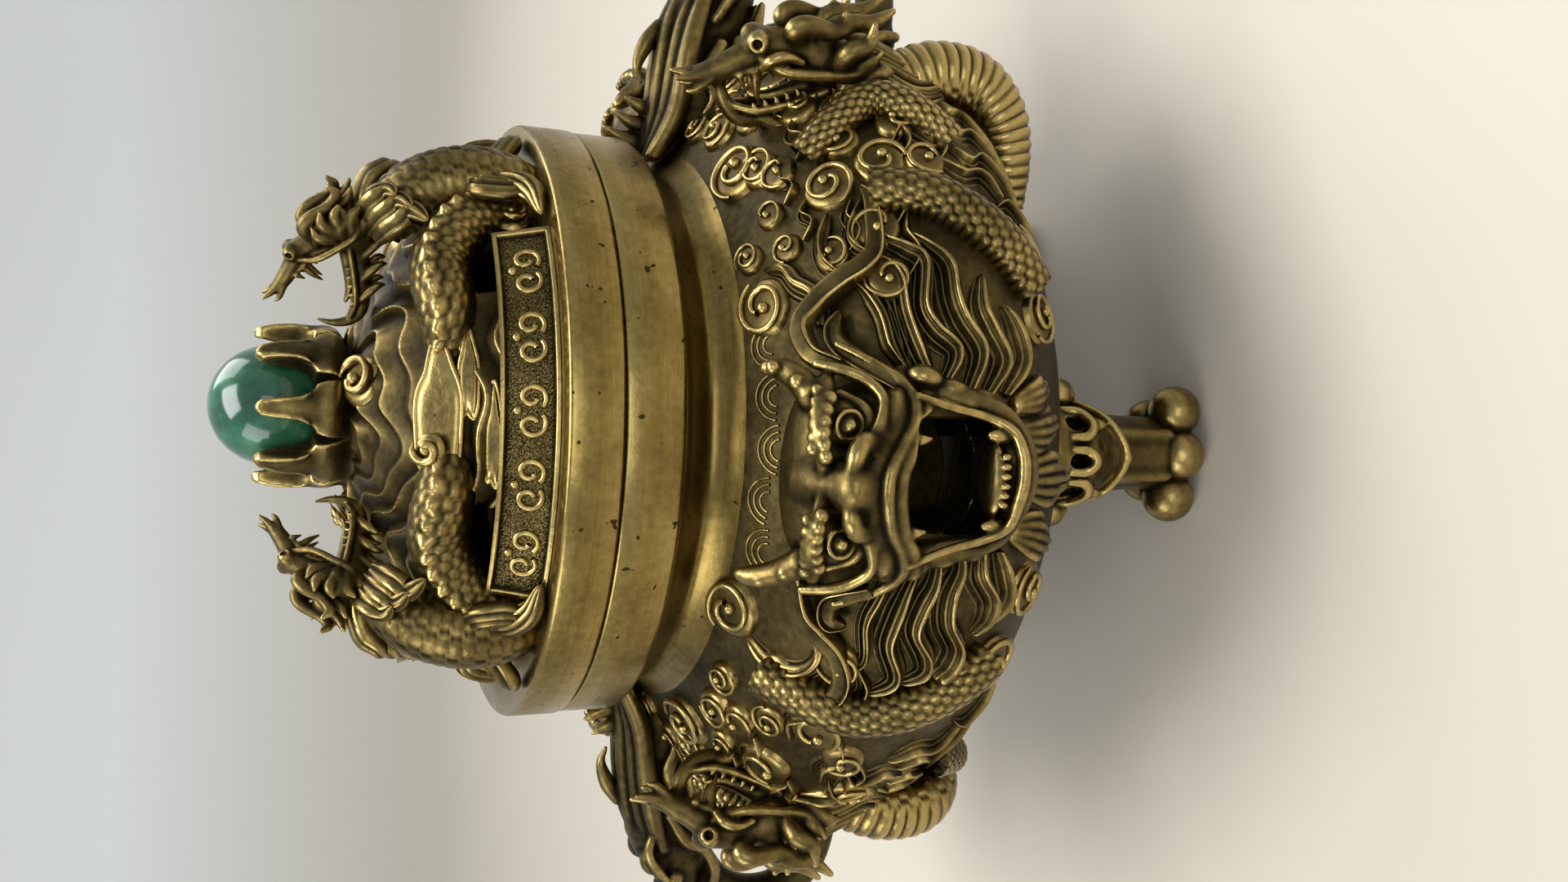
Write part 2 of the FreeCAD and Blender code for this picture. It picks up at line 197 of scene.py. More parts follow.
# Clay: solid forms blended smoothly into each other, then skinned
class Clay:
    """A box of distances to the nearest surface, negative inside the form."""

    def __init__(self, low, high, voxel=0.5):
        self.low, self.voxel = np.array(low, float), voxel
        count = np.ceil((np.array(high, float) - self.low) / voxel).astype(int) + 1
        self.field = np.full(count, 3.0, np.float32)

    def window(self, low, high):
        """The part of the field between two corners, and its points."""
        i = np.clip(np.floor((np.array(low) - self.low) / self.voxel).astype(int), 0, self.field.shape)
        j = np.clip(np.ceil((np.array(high) - self.low) / self.voxel).astype(int) + 1, 0, self.field.shape)
        region = tuple(slice(a, b) for a, b in zip(i, j))
        axes = [self.low[k] + self.voxel * np.arange(i[k], j[k]) for k in range(3)]
        return region, np.stack(np.meshgrid(*axes, indexing="ij"), -1)

    def blend(self, region, d, k, carve):
        """Adds or carves a form of distances d, with a fillet of size k."""
        f = self.field[region]
        if carve:
            h = np.maximum(k - np.abs(f + d), 0) / k
            self.field[region] = np.maximum(f, -d) + h * h * k / 4
        else:
            h = np.maximum(k - np.abs(f - d), 0) / k
            self.field[region] = np.minimum(f, d) - h * h * k / 4

    def ball(self, at, r, turn=(0, 0, 0), k=1.0, carve=False):
        """A ball, or an ellipsoid with three radii turned by three angles."""
        r = np.broadcast_to(np.array(r, float), 3)
        region, p = self.window(np.array(at) - r.max() - k - 1, np.array(at) + r.max() + k + 1)
        rot = np.array(Euler([math.radians(a) for a in turn]).to_matrix())
        q = (p - np.array(at)) @ rot
        a, b = np.linalg.norm(q / r, axis=-1), np.linalg.norm(q / r ** 2, axis=-1)
        self.blend(region, a * (a - 1) / np.maximum(b, 1e-6), k, carve)

    def path(self, rows, k=1.0, carve=False, per=6, flat=None):
        """A round bar through rows of x, y, z, radius, pressed along the direction flat by its length."""
        p = spline(rows, per) if len(rows) > 2 else np.asarray(rows, float)
        reach = p[:, 3].max() + k + 1
        region, _ = self.window((p[:, :3] - reach).min(0), (p[:, :3] + reach).max(0))
        d = np.full(self.field[region].shape, 9.0)
        first = np.array([s.start for s in region])
        for a, b in zip(p, p[1:]):
            far = max(a[3], b[3]) + k + 1
            sub, q = self.window(np.minimum(a, b)[:3] - far, np.maximum(a, b)[:3] + far)
            here = tuple(slice(s.start - o, s.stop - o) for s, o in zip(sub, first))
            w, ab = q - a[:3], b[:3] - a[:3]
            t = np.clip(w @ ab / max(ab @ ab, 1e-9), 0, 1)
            w = w - t[..., None] * ab
            size = np.linalg.norm(w, axis=-1)
            if flat is not None:
                n = unit(np.array(flat, float))
                squeeze = np.linalg.norm(flat)
                size = np.sqrt(np.maximum(size ** 2 + (squeeze ** 2 - 1) * (w @ n) ** 2, 0))
            new = size - (a[3] + t * (b[3] - a[3]))
            d[here] = np.minimum(d[here], new)
        self.blend(region, d, k, carve)

    def hollow(self, distance, low, high, k=0.8):
        """Carves away wherever distance, a function of points, is negative."""
        region, p = self.window(low, high)
        self.blend(region, distance(p), k, True)

    def skin(self, lift=0.5):
        grid = openvdb.FloatGrid(3.0)
        grid.copyFromArray(self.field)
        v, f = grid.convertToQuads(0.0)
        return v * self.voxel + self.low, f.astype(int)[:, ::-1], np.full(len(v), lift)


# The belly's surface, where az is degrees round from the front and z is height
OUTER = [(56, 50), (70, 52), (88, 59), (104, 70), (116, 84), (123, 98), (125, 110), (124, 120),
         (118, 133), (108, 143), (97, 150), (89, 154.5), (83.5, 158.5), (80, 164), (83.5, 170), (89, 174)]
PROFILE = spline(OUTER, 10)


def radius_at(z):
    return np.interp(z, PROFILE[:, 1], PROFILE[:, 0])


def slope_at(z):
    return radius_at(z + 0.5) - radius_at(z - 0.5)


def belly(az, z, h=0.0):
    """Points at height h off the belly and the belly's outward direction there."""
    r, slope = radius_at(z), slope_at(z)
    size = np.hypot(1, slope)
    a = np.radians(az)
    out = np.stack([np.sin(a) / size, -np.cos(a) / size, -slope / size], -1)
    at = np.stack([np.sin(a) * r, -np.cos(a) * r, z + 0 * r], -1)
    return at + out * np.asarray(h)[..., None], out


def on_belly(rows):
    """A path laid on the belly through rows of az, z, height, half-width."""
    s = spline(rows, 10)
    p, t, az, z, w = evenly(belly(s[:, 0], s[:, 1], s[:, 2])[0], 0.8, s[:, 0], s[:, 1], s[:, 3])
    return p, belly(az, z)[1], t, w


def full(rows, height, width):
    """Rows of az, z with a height and a half-width filled in where a row has none."""
    return [tuple(r) + (height, width)[len(r) - 2:] for r in rows]


def taper(t, root=0.55, tip=0.3):
    """Full width in the middle, narrower at the root and pointed at the tip."""
    near = root + (1 - root) * np.clip(t / 0.25, 0, 1)
    far = np.sqrt(np.clip((1 - t) / tip, 0.0004, 1))
    return near * np.minimum(far, 1)


def lock(rows, width=4.8, height=4.6, strands=3, lead=0.2, base=-1.0):
    """A lock of hair: a tapered strip with fine ridges and one bold one."""
    p, n, t, w = on_belly(full(rows, base, width))
    u = np.linspace(-1, 1, 23)[None]
    fat = taper(t)[:, None]
    dome = (1 - u ** 2) ** 0.6
    fine = 0.19 * np.cos(2 * np.pi * strands * (u - lead))
    bold = np.exp(-((u - lead) / 0.3) ** 2)
    v = dome * (0.4 + fine + 0.7 * bold)
    # The lock is painted lighter on its crown and bold ridge and darker at its edges: painted highlight and
    # painted shade, partly rubbed wear
    lift = 0.06 + 0.12 * dome + 0.1 * fine + 0.44 * bold * dome
    return sweep(p, n, u * w[:, None] * fat, v * height * (0.4 + 0.6 * fat), lift=lift)


def band(rows, width=3.2, height=5.0, rim=0.8, base=-1.0):
    """A flat ribbon with one raised bright rim."""
    p, n, t, w = on_belly(full(rows, base, width))
    u = np.linspace(-1, 1, 19)[None]
    fat = taper(t, 0.8, 0.15)[:, None]
    edge = np.exp(-((u - rim) / 0.17) ** 2)
    plain = np.clip((1 - np.abs(u) ** 8), 0, 1)
    v = plain * 0.62 + 0.38 * edge * plain ** 0.3
    # The rim is painted brighter and the ribbon's low edges darker: painted highlight and painted shade,
    # partly rubbed wear
    return sweep(p, n, u * w[:, None] * fat, v * height * (0.5 + 0.5 * fat),
                 lift=0.12 + 0.22 * plain + 0.45 * edge)


def cord(points, normals, radii, lift=0.55, sides=10):
    """A round bar along points."""
    a, r = around(sides), np.asarray(radii)[:, None]
    return sweep(points, normals, -np.cos(a) * r, np.sin(a) * r, True, lift)


def bead(at, r, lift=0.6, sides=12):
    """A ball."""
    a, b = around(sides), np.linspace(-np.pi / 2, np.pi / 2, sides // 2 + 2)[:, None]
    return skin(np.stack([np.cos(b) * np.cos(a), np.cos(b) * np.sin(a), np.sin(b) + 0 * a], -1) * r + at,
                lift)


def scroll(az, z, size, start=0.0, hand=1, turns=1.35, height=4.0):
    """A cloud curl: a shallow disc with a ridge that winds in to a round eye."""
    r_here, lean = radius_at(z), math.hypot(1, slope_at(z))

    def place(rho, angle, h):
        dx, dz = rho * np.cos(angle), rho * np.sin(angle)
        return belly(az + np.degrees(dx / r_here), z + dz / lean, h)

    rho, angle = np.linspace(0, 1, 12)[:, None] * size, around(40)
    bowl = height * (0.8 - 0.25 * (rho / size) ** 2) * (1 - (rho / size) ** 14) - 0.6
    # The raised ridge and eye are painted brighter than the disc: painted highlight, partly wear
    parts = [skin(place(rho, angle, bowl + 0 * angle)[0], 0.34)]
    s = np.linspace(0, 1, 70)
    wind = start + hand * s * turns * 2 * np.pi
    p, n = place(size * (0.95 - 0.68 * s ** 1.2), wind, height * (0.52 + 0.28 * s))
    thick = 0.95 * (0.5 + 0.5 * np.clip(s / 0.15, 0, 1)) * min(1.25, size / 8) * (1 - 0.2 * s)
    parts.append(cord(p, n, thick * hand, 0.6))
    eye = place(size * 0.17, wind[-1] + hand * 1.2, height * 0.75)[0]
    parts.append(bead(eye, size * 0.15 + 0.4, 0.55))
    return join(parts)


def scaled_body(points, normals, radii, scale=3.0, scutes=True, lift=0.3, spine=False):
    """A dragon's body: rows of scales on the back and cross-plates under it. normals point to its back."""
    sides = 44
    a = np.linspace(-np.pi, np.pi, sides, endpoint=False)[None]
    r = np.asarray(radii)[:, None]
    gaps = np.linalg.norm(np.diff(points, axis=0), axis=1)
    run = np.concatenate([[0], np.cumsum(gaps)])[:, None]
    row = run / (scale * 0.86)
    cols = 2 * round(np.pi * float(np.mean(r)) / scale)
    best = np.full((len(points), sides), -1.0)
    for shift in (0, 1):
        i = np.round((row - shift) / 2) * 2 + shift
        col = a / (2 * np.pi) * cols - 0.5 * (i % 2)
        dx = col - np.round(col)
        dy = (row - i) * 0.86
        best = np.maximum(best, 1 - (dx ** 2 * 3.4 + dy ** 2 * 2.6 + 0.5 * dy))
    scales = np.clip(best, 0, 1) ** 0.7 * 0.24 * scale
    plates = np.abs(np.sin(np.pi * run / (scale * 0.9))) ** 0.6 * 0.26 * scale
    belly_side = np.clip((np.abs(a) - 1.75) / 0.2, 0, 1) if scutes else 0 * a
    rough = scales * (1 - belly_side) + plates * belly_side
    if spine:
        fin = np.exp(-(a / 0.16) ** 2) * (1.2 + 0.9 * np.sin(2 * np.pi * run / (scale * 1.3)))
        rough = rough + fin
    # Raised scales and plates are painted brighter and the gaps between them darker: painted highlight and
    # painted shade, partly wear
    bright = lift + 0.3 * rough / (0.3 * scale) - 0.16
    return sweep(points, normals, np.sin(a) * (r + rough) * -1, np.cos(a) * (r + rough), True,
                 np.clip(bright, 0, 1))


# Materials
def nodes_of(name):
    mat = bpy.data.materials.new(name)
    mat.use_nodes = True
    tree = mat.node_tree
    return mat, tree, tree.nodes["Principled BSDF"]


def noise(tree, coords, scale, detail=4.0, rough=0.55):
    n = tree.nodes.new("ShaderNodeTexNoise")
    n.inputs["Scale"].default_value = scale
    n.inputs["Detail"].default_value = detail
    n.inputs["Roughness"].default_value = rough
    tree.links.new(coords, n.inputs["Vector"])
    return n.outputs["Fac"]


def maths(tree, kind, a, b, c=None):
    m = tree.nodes.new("ShaderNodeMath")
    m.operation = kind
    for slot, value in zip(m.inputs, (a, b, c)):
        if isinstance(value, (int, float)):
            slot.default_value = value
        elif value is not None:
            tree.links.new(value, slot)
    return m.outputs[0]


def ramp(tree, fac, stops):
    r = tree.nodes.new("ShaderNodeValToRGB")
    for _ in range(len(stops) - 2):
        r.color_ramp.elements.new(0.5)
    for element, (at, colour) in zip(r.color_ramp.elements, stops):
        element.position = at
        element.color = (*colour, 1) if len(colour) == 3 else colour
    tree.links.new(fac, r.inputs["Fac"])
    return r.outputs["Color"]


def grey(v):
    return (v, v, v)


def brass_patina_and_shade(name, stops, polish, spread, grain=0.25, metal=(1.0, 1.0), lathe=0.0, pits=False):
    """Cast brass, coloured by how far each place stands out, as patina and painted shade in the hollows and
    as wear and painted highlight on the heights, with blotches and casting grain.

    polish and metal each give the value in the hollows and on the heights. lathe is how much turning
    lines show.
    """
    mat, tree, bsdf = nodes_of(name)
    where = tree.nodes.new("ShaderNodeTexCoord").outputs["Object"]
    out = tree.nodes.new("ShaderNodeAttribute")
    out.attribute_name = "relief"
    blotch = maths(tree, "SUBTRACT", noise(tree, where, 38), 0.5)
    speck = maths(tree, "SUBTRACT", noise(tree, where, 420, 3.0), 0.5)
    # The relief attribute darkens hollows and lightens heights: patina and wear, and also painted shade and
    # painted highlight
    patina_wear_and_shade = maths(tree, "MULTIPLY_ADD", blotch, spread * 1.6, out.outputs["Fac"])
    patina_wear_and_shade = maths(tree, "MULTIPLY_ADD", speck, spread, patina_wear_and_shade)
    if lathe:
        rings = tree.nodes.new("ShaderNodeMapping")
        rings.inputs["Scale"].default_value = (0.05, 0.05, 2.4)
        tree.links.new(where, rings.inputs["Vector"])
        lines = noise(tree, rings.outputs["Vector"], 700, 3.0)
        patina_wear_and_shade = maths(tree, "MULTIPLY_ADD", maths(tree, "SUBTRACT", lines, 0.5), lathe, patina_wear_and_shade)
    if pits:
        hole = maths(tree, "GREATER_THAN", noise(tree, where, 300, 1.0), 0.735)
        patina_wear_and_shade = maths(tree, "MULTIPLY_ADD", hole, -0.6, patina_wear_and_shade)
    tree.links.new(ramp(tree, patina_wear_and_shade, stops), bsdf.inputs["Base Color"])
    rough = ramp(tree, patina_wear_and_shade, [(0.15, grey(polish[0])), (0.8, grey(polish[1]))])
    tree.links.new(maths(tree, "MULTIPLY_ADD", speck, 0.18, rough), bsdf.inputs["Roughness"])
    tree.links.new(ramp(tree, patina_wear_and_shade, [(0.1, grey(metal[0])), (0.6, grey(metal[1]))]), bsdf.inputs["Metallic"])
    bump = tree.nodes.new("ShaderNodeBump")
    bump.inputs["Strength"].default_value = grain
    bump.inputs["Distance"].default_value = 0.0006
    mix = maths(tree, "MULTIPLY_ADD", noise(tree, where, 1400, 2.0), 0.35, noise(tree, where, 330, 3.0))
    tree.links.new(mix, bump.inputs["Height"])
    tree.links.new(bump.outputs["Normal"], bsdf.inputs["Normal"])
    return mat


CAST = brass_patina_and_shade(
    "cast_brass_patina_and_shade",
    [(0.06, (0.011, 0.008, 0.0035)), (0.27, (0.038, 0.028, 0.011)), (0.48, (0.094, 0.069, 0.025)),
     (0.7, (0.19, 0.138, 0.047)), (0.97, (0.43, 0.32, 0.118))],
    polish=(0.6, 0.29), spread=0.38)
SATIN = brass_patina_and_shade(
    "satin_brass",
    [(0.1, (0.05, 0.034, 0.01)), (0.35, (0.145, 0.1, 0.028)), (0.6, (0.26, 0.187, 0.057)),
     (0.95, (0.44, 0.34, 0.13))],
    polish=(0.4, 0.24), grain=0.1, spread=0.42, lathe=0.3, pits=True)


# The bowl: its wall and neck, open at each mask's mouth
def revolved(profile, count=360, lift=0.5):
    """A line of radius and height spun round the burner's axis."""
    a = around(count)
    r, z = np.asarray(profile, float).T[:, :, None]
    return skin(np.stack([np.sin(a) * r, -np.cos(a) * r, z + 0 * a], -1), lift)


def in_mouth(p):
    """True for points that lie in a mask's mouth."""
    hit = np.zeros(len(p), bool)
    for az in MASKS.values():
        a = math.radians(-az)
        x = p[:, 0] * math.cos(a) - p[:, 1] * math.sin(a)
        y = p[:, 0] * math.sin(a) + p[:, 1] * math.cos(a)
        hit |= (np.abs(x - 2) < 15) & (y < 0) & (p[:, 2] > 104) & (p[:, 2] < 131)
    return hit


def without(part, test):
    """The part without the quads whose middles pass the test."""
    centre = part[0][part[1]].mean(1)
    return part[0], part[1][~test(centre)], part[2]


belly_line = PROFILE[PROFILE[:, 1] <= 156.5]
wall_out = without(revolved(evenly(belly_line, 1.4)[0], 420, lift=0.33), in_mouth)
# The inner wall is painted close to the darkest colour, as painted shade inside the bowl
wall_in = without(revolved(evenly(belly_line - (WALL, 0), 3)[0][::-1], 240, lift=0.05), in_mouth)
floor_plate = revolved([(56, 50), (30, 50), (0.1, 50)], 96, lift=0.33)
piece("bowl_belly", [wall_out, wall_in, floor_plate], CAST, "base", replaces=["bowl"], keen=0.3)
rim_line = [(88.9, 173.8), (89.4, 174.4), (89.5, 175.2), (89.5, 182), (89.5, 189.3), (89.3, 189.8),
            (88.8, 190), (84, 190), (83.5, 189.7), (83.5, 186), (78, 186), (78, 172), (76.6, 164),
            (79, 159), (83, 156)]
neck_line = np.vstack([PROFILE[PROFILE[:, 1] > 156][:-1], rim_line])
piece("bowl_neck", [revolved(neck_line, 360, lift=0.5)], SATIN, "base", keen=0.5)


# The dragon mask, facing the front
def sides(rows):
    """Rows and their mirror image."""
    return [[(s * r[0],) + tuple(r[1:]) for r in rows] for s in (-1, 1)]


def build_mask():
    c = Clay((-42, -144, 72), (42, -98, 174), 0.5)
    c.ball((0, -108, 126), (27, 17, 26), k=1)
    c.ball((0, -117, 139), (21, 13, 10), k=6)
    c.ball((1, -113, 149.5), (22, 10, 6.5), k=6)
    for i in range(4):
        z = 150.5 + 1.5 * i
        c.path([(x, -118 - 1.5 * i + 0.014 * x * x + 2.2 * i, z - 0.006 * x * x, 0.7)
                for x in (-15, -8, 0, 8, 15)], k=0.7)
    for x in (-1, 1):
        c.ball((13.5 * x, -121.5, 136.5), (9, 7.5, 6), k=3)
        c.ball((14.3 * x, -130, 147.5), 7.4, k=2, carve=True)
        c.ball((14.3 * x, -122, 147), 6.0, k=0.6)
        c.path([(14.3 * x + 3.6 * math.cos(a), -127.3 - 0.3 * math.sin(a), 146.6 + 3.6 * math.sin(a), 0.62)
                for a in np.linspace(0, 2 * math.pi, 13)], k=0.5, per=3)
        c.ball((14.3 * x, -127.6, 146.6), 1.7, k=0.4)
        c.path([(21.5 * x, -121, 146.5, 1.2), (18 * x, -125.5, 141.6, 1.5), (12 * x, -128, 140.8, 1.5),
                (7.5 * x, -127.5, 144.5, 1.0)], k=0.8)
        c.ball((17.3 * x, -127.5, 136.6), (5.6, 3.0, 2.6), (0, 20 * x, 0), k=0.7)
    # nose, nostrils and bridge
    c.path([(0, -118, 153, 3.4), (0, -122.5, 151, 4.4), (0, -128, 148.5, 4.6)], k=3)
    c.ball((0, -131, 147), (6.4, 6.4, 4.9), k=1.4)
    for rows in sides([(4, -133.5, 148, 2.0), (8.4, -133.4, 147, 2.5), (11.2, -131.4, 144, 2.3),
                       (11, -129, 140.8, 1.4)]):
        c.path(rows, k=0.8)
    for x in (-1, 1):
        c.ball((7.2 * x, -133.5, 143.2), (2.2, 3.5, 1.7), k=0.6, carve=True)
    # brows, with beads along their lower edge, and horn stubs
    for x in (-1, 1):
        c.path([(3 * x, -126.5, 152, 1.6), (9 * x, -128.5, 154, 2.2), (15.5 * x, -126.5, 154.2, 2.6),
                (21.5 * x, -121.5, 151, 2.6), (26 * x, -116, 148, 1.6)], k=1.2)
        for i in range(6):
            t = i / 5
            c.ball((x * (7 + 13.5 * t), -130 + 5 * t * t, 153.5 - 2.5 * t * t + 1.2 * math.sin(3 * t)), 1.9,
                   k=0.5)
            c.ball((x * (8.5 + 13.5 * t), -127.5 + 5 * t * t, 156 - 2.5 * t * t), 1.6, k=0.5)
        tall = 0 if x < 0 else 3.5
        c.path([(21 * x, -118, 153, 3.8), (24.5 * x, -113, 157 - 0.5 * tall, 3.4),
                (26 * x, -108.5, 161 - tall, 2.8), (26 * x, -106, 163.5 - tall, 1.8)], k=1.4)
        c.ball((23.5 * x, -117, 156.5), 2.0, k=0.5)
        c.ball((26.5 * x, -111, 160.5), 1.8, k=0.5)
    # the ribbon under each eye
    for rows in sides([(9.5, -130.5, 143.5, 1.2), (15.5, -130, 139.9, 1.3), (21, -127.5, 138.2, 1.4),
                       (25, -123.5, 141, 1.5), (27, -120.5, 146, 1.5), (28, -116, 151, 1.3)]):
        c.path(rows, k=0.5)
    # upper lip: a bright ridge over a dark flange, and two fangs
    lip = [(-32, -116, 142, 0.9), (-29.5, -120, 136.3, 1.2), (-26.2, -123.5, 131.5, 1.4),
           (-21.6, -127.5, 129.2, 1.6), (-16.5, -130.5, 131.5, 1.6), (-10, -134, 136.6, 1.7),
           (-3, -136.3, 139.4, 1.7), (4, -136.3, 139.2, 1.7), (10, -134.2, 135.3, 1.7),
           (15.5, -131.3, 131.2, 1.6), (20.9, -128.3, 130.1, 1.6), (25.5, -124.3, 132.8, 1.5),
           (29.9, -119.5, 139.5, 1.2), (33, -114, 145, 0.9)]
    c.path([(x, y + 1.2, z - 3.0, r + 1.0) for x, y, z, r in lip[3:11]], k=1.5)
    c.path([(x, y + 4.0, z + 2.5, r + 2.0) for x, y, z, r in lip[3:11]], k=3)
    c.path(lip, k=0.5, per=8)
    # lower jaw
    c.path([(-22, -121, 128, 3.0), (-18, -124.5, 120, 3.6), (-15.5, -127, 112, 3.4),
            (-12.5, -129.5, 105.5, 3.4), (-5, -131.5, 101.5, 3.6), (3, -132.5, 100, 3.8),
            (11, -131.5, 101.2, 3.6), (17.5, -129.5, 106, 3.4), (20.5, -127, 113, 3.4),
            (23, -124.5, 121, 3.4), (26, -121, 130, 3.0)], k=3)

    def mouth(p):
        x, z = p[..., 0] - 2.2 - 0.03 * (118 - p[..., 2]), p[..., 2] - 117.5
        wide = 15.5 + 0.12 * z
        high = 15.1 - 0.012 * x ** 2
        past = np.maximum(np.abs(x) - wide + 5, 0) ** 2 + np.maximum(np.abs(z) - high + 5, 0) ** 2
        return np.sqrt(past) - 5

    c.hollow(mouth, (-20, -150, 100), (24, -100, 136), k=1.0)
    c.path([(-19.5, -129.8, 129, 1.1), (-15.5, -131, 119, 1.1), (-13, -132, 110, 1.2),
            (-9.5, -134.5, 104.6, 1.3), (-3, -136.3, 103.2, 1.6), (3, -137, 102.6, 1.7),
            (9, -136.4, 103, 1.6), (14.5, -134, 105, 1.4), (17.6, -131.5, 111, 1.2),
            (19.5, -130.8, 120, 1.1), (22, -129, 129.5, 1.1)], k=0.5)
    for x, z, r in [(-20.5, 124.5, 2.6), (-18.6, 117, 2.4), (-16.8, 109.5, 2.4), (26, 125.5, 3.0),
                    (23.4, 118, 2.7), (21.3, 110, 2.6)]:
        c.ball((x * 1.02, -124.5 - (125 - z) * 0.12, z), (r, r * 1.3, r * 1.6),
               (0, 12 if x > 0 else -12, 0), k=0.5)
    for x in (-11, 11.6):
        c.path([(x, -131.8, 134, 2.0), (x + 0.2, -133, 130.5, 1.5), (x + 0.5, -133, 127, 0.5)], k=0.5)
    # tongue, lower teeth and tusks
    c.ball((2, -125, 103.5), (12.5, 10, 3.6), k=1.5)
    c.ball((1.8, -130, 107.2), (9.6, 5, 2.5), k=0.6)
    for i in range(6):
        c.ball((-3.8 + 2.4 * i, -135 + 0.12 * (i - 2.5) ** 2, 106.2), (1.0, 1.2, 1.5), k=0.3)
    for x in (-9.4, 13.2):
        c.path([(x, -131.5, 104, 2.1), (x, -132.3, 107.5, 1.9), (x, -132.2, 109.8, 1.3)], k=0.5)
    # chin and beard
    c.ball((3, -124.5, 100), (12.5, 7, 3.6), k=2.5)
    for x, z, wide, long, lean in ((0.5, 93, 6, 17, 0.5), (-12.5, 93, 5.4, 13, -4), (13, 94, 5, 13, 1.5),
                                   (20, 95, 4, 10, 4)):
        for i in (-2, -1, 0, 1, 2):
            c.path([(x + 0.35 * wide * i / 2, -122.5 + 0.2 * i * i, z + 2, 1.5),
                    (x + 0.4 * lean + wide * i / 2, -121.5 + 0.3 * i * i, z - 0.5 * long, 1.6),
                    (x + lean + 0.8 * wide * i / 2, -117.5 + 0.4 * i * i, z - long + 0.5 * i * i, 1.0)],
                   k=0.25)
    return c.skin(0.34)


mask = build_mask()
for name, az in MASKS.items():
    piece(f"mask_{name}_face", [turned(mask, az)], CAST, "base", replaces=[f"mask_{name}"])

# The relief round one mask. Hair and ribbons: rows of az, z and, where they differ, height and half-width
HAIR = [
    # right of the mouth, from the whisker down
    dict(rows=[(13, 127, 0, 3), (16, 129.5), (20, 131), (23.3, 133.7), (25.4, 137)], lead=-0.3),
    dict(rows=[(11.5, 121.8), (15, 125), (19.8, 127.5), (24.3, 128), (26.5, 130), (27.6, 133)], lead=0.4),
    dict(rows=[(11.5, 118.7), (15, 115.7), (17.7, 120.5), (20.6, 122.8), (25.8, 121.4), (27.7, 124.6),
               (29.5, 129), (31.8, 131.2)], width=4.6, height=5.2),
    dict(rows=[(10.9, 112.4), (15.1, 109.3), (18.7, 113.7), (21.6, 115.4), (25.5, 115.8), (28.1, 119.7),
               (30, 123.3)],
         width=4.4, height=5.0),
    dict(rows=[(10.4, 107), (14.4, 102.3), (18, 105.9), (20.8, 108), (24.9, 105.9)], height=4.6),
    dict(rows=[(10.5, 101.3), (14.7, 95), (18.5, 96.4), (21.4, 99.4)], height=4.2),
    # above the right whisker
    dict(rows=[(20, 143.6), (24.3, 143.9), (27.1, 146.6), (30, 148.2), (31.6, 151.2)], width=4.8, strands=4),
    dict(rows=[(26, 138.6), (28.6, 141.1), (31.7, 141.4), (35.8, 139)], width=3.6),
    dict(rows=[(27.8, 132.8), (29.5, 135.4), (31.9, 135.8), (36, 132.2)], width=3.0),
    # left of the mouth
    dict(rows=[(-10.4, 127.6), (-14.8, 130), (-18.3, 131.2), (-23.3, 129.4), (-25.9, 131.4)], width=3.6,
         lead=-0.3),
    dict(rows=[(-10.8, 122.8), (-13.6, 124.1), (-17.5, 125.4), (-20.9, 125.5), (-24.7, 121.7), (-26.5, 122),
               (-28.7, 126.4)],
         lead=-0.4),
    dict(rows=[(-9.1, 117.5), (-11.9, 117.6), (-15, 119.3), (-18.2, 119.7), (-21.5, 115.4), (-23.9, 114.5),
               (-25.9, 119)],
         width=4.6, height=5.2, lead=-0.2),
    dict(rows=[(-7.9, 112.2), (-10.3, 111.6), (-13.3, 113.3), (-17, 112), (-20.5, 107), (-23.4, 107.5),
               (-25.2, 109.8), (-28.6, 106.4)], width=4.6, height=5.2, lead=-0.2),
    dict(rows=[(-7.5, 106), (-11, 105), (-14.4, 99.6), (-17.2, 99.3), (-19.2, 102.4)], lead=-0.2),
    dict(rows=[(-8.2, 100), (-11.5, 96.5), (-14.4, 94), (-18.1, 96.6)], lead=-0.2),
    dict(rows=[(-21, 141), (-25, 137.5), (-29.5, 140), (-31.5, 146), (-30.5, 150.5)], width=4.4, strands=4),
]
RIBBONS = [
    dict(rows=[(13.2, 138, 9, 2.6), (15.2, 142.6, 9, 3.2), (19.6, 144.6, 6, 3.4), (23.2, 142.2, 3, 3.4),
               (25.2, 138.3, 2, 3.4), (26.7, 133.8, 1, 3.2), (29, 131.4, 0, 3), (35, 130.6, 0, 2.6),
               (37.8, 131.8, 0, 2)]),
    dict(rows=[(11, 129.6, 6, 2), (13.2, 134, 6, 2.6), (15.9, 138.6, 4, 2.6), (18.4, 140.2, 2, 2.2),
               (20.9, 139.2, 1, 1.6)],
         rim=-0.8),
    dict(rows=[(-12.5, 131, 6, 2), (-14.3, 135, 5, 2.4), (-16, 137.6, 4, 2.6), (-18.4, 137.4, 3, 2.2),
               (-18.8, 134.6, 2, 1.6)]),
    dict(rows=[(-13.5, 143.6, 6, 2.4), (-18.7, 142.1, 4, 3), (-21.4, 139.2, 2, 3.2), (-23.8, 135, 1, 3.2),
               (-27.2, 132.4, 1, 3), (-30.4, 133.2, 1, 2.6), (-34.2, 138.2, 0, 2)], rim=-0.8),
]
# Cloud curls: az, z, size, where the ridge starts and which way it winds
SCROLLS = [(25.8, 152, 8.6, 0.4, 1), (35.5, 153.3, 4.6, 2.0, -1), (54.5, 151, 9.5, 2.6, -1),
           (39.8, 137.6, 7.4, 3.4, 1), (46.5, 132.6, 6.0, 5.2, 1), (-27.5, 154.3, 9.0, 2.8, -1),
           (-41.6, 141.7, 5.4, 0.6, 1), (-42.4, 151.4, 5.2, 5.5, -1), (-26, 90, 9.6, 1.0, -1),
           (-15.2, 83, 8.2, 0.4, 1), (21.5, 84, 7.6, 2.6, 1), (30.5, 85.5, 8.4, 0.2, -1)]


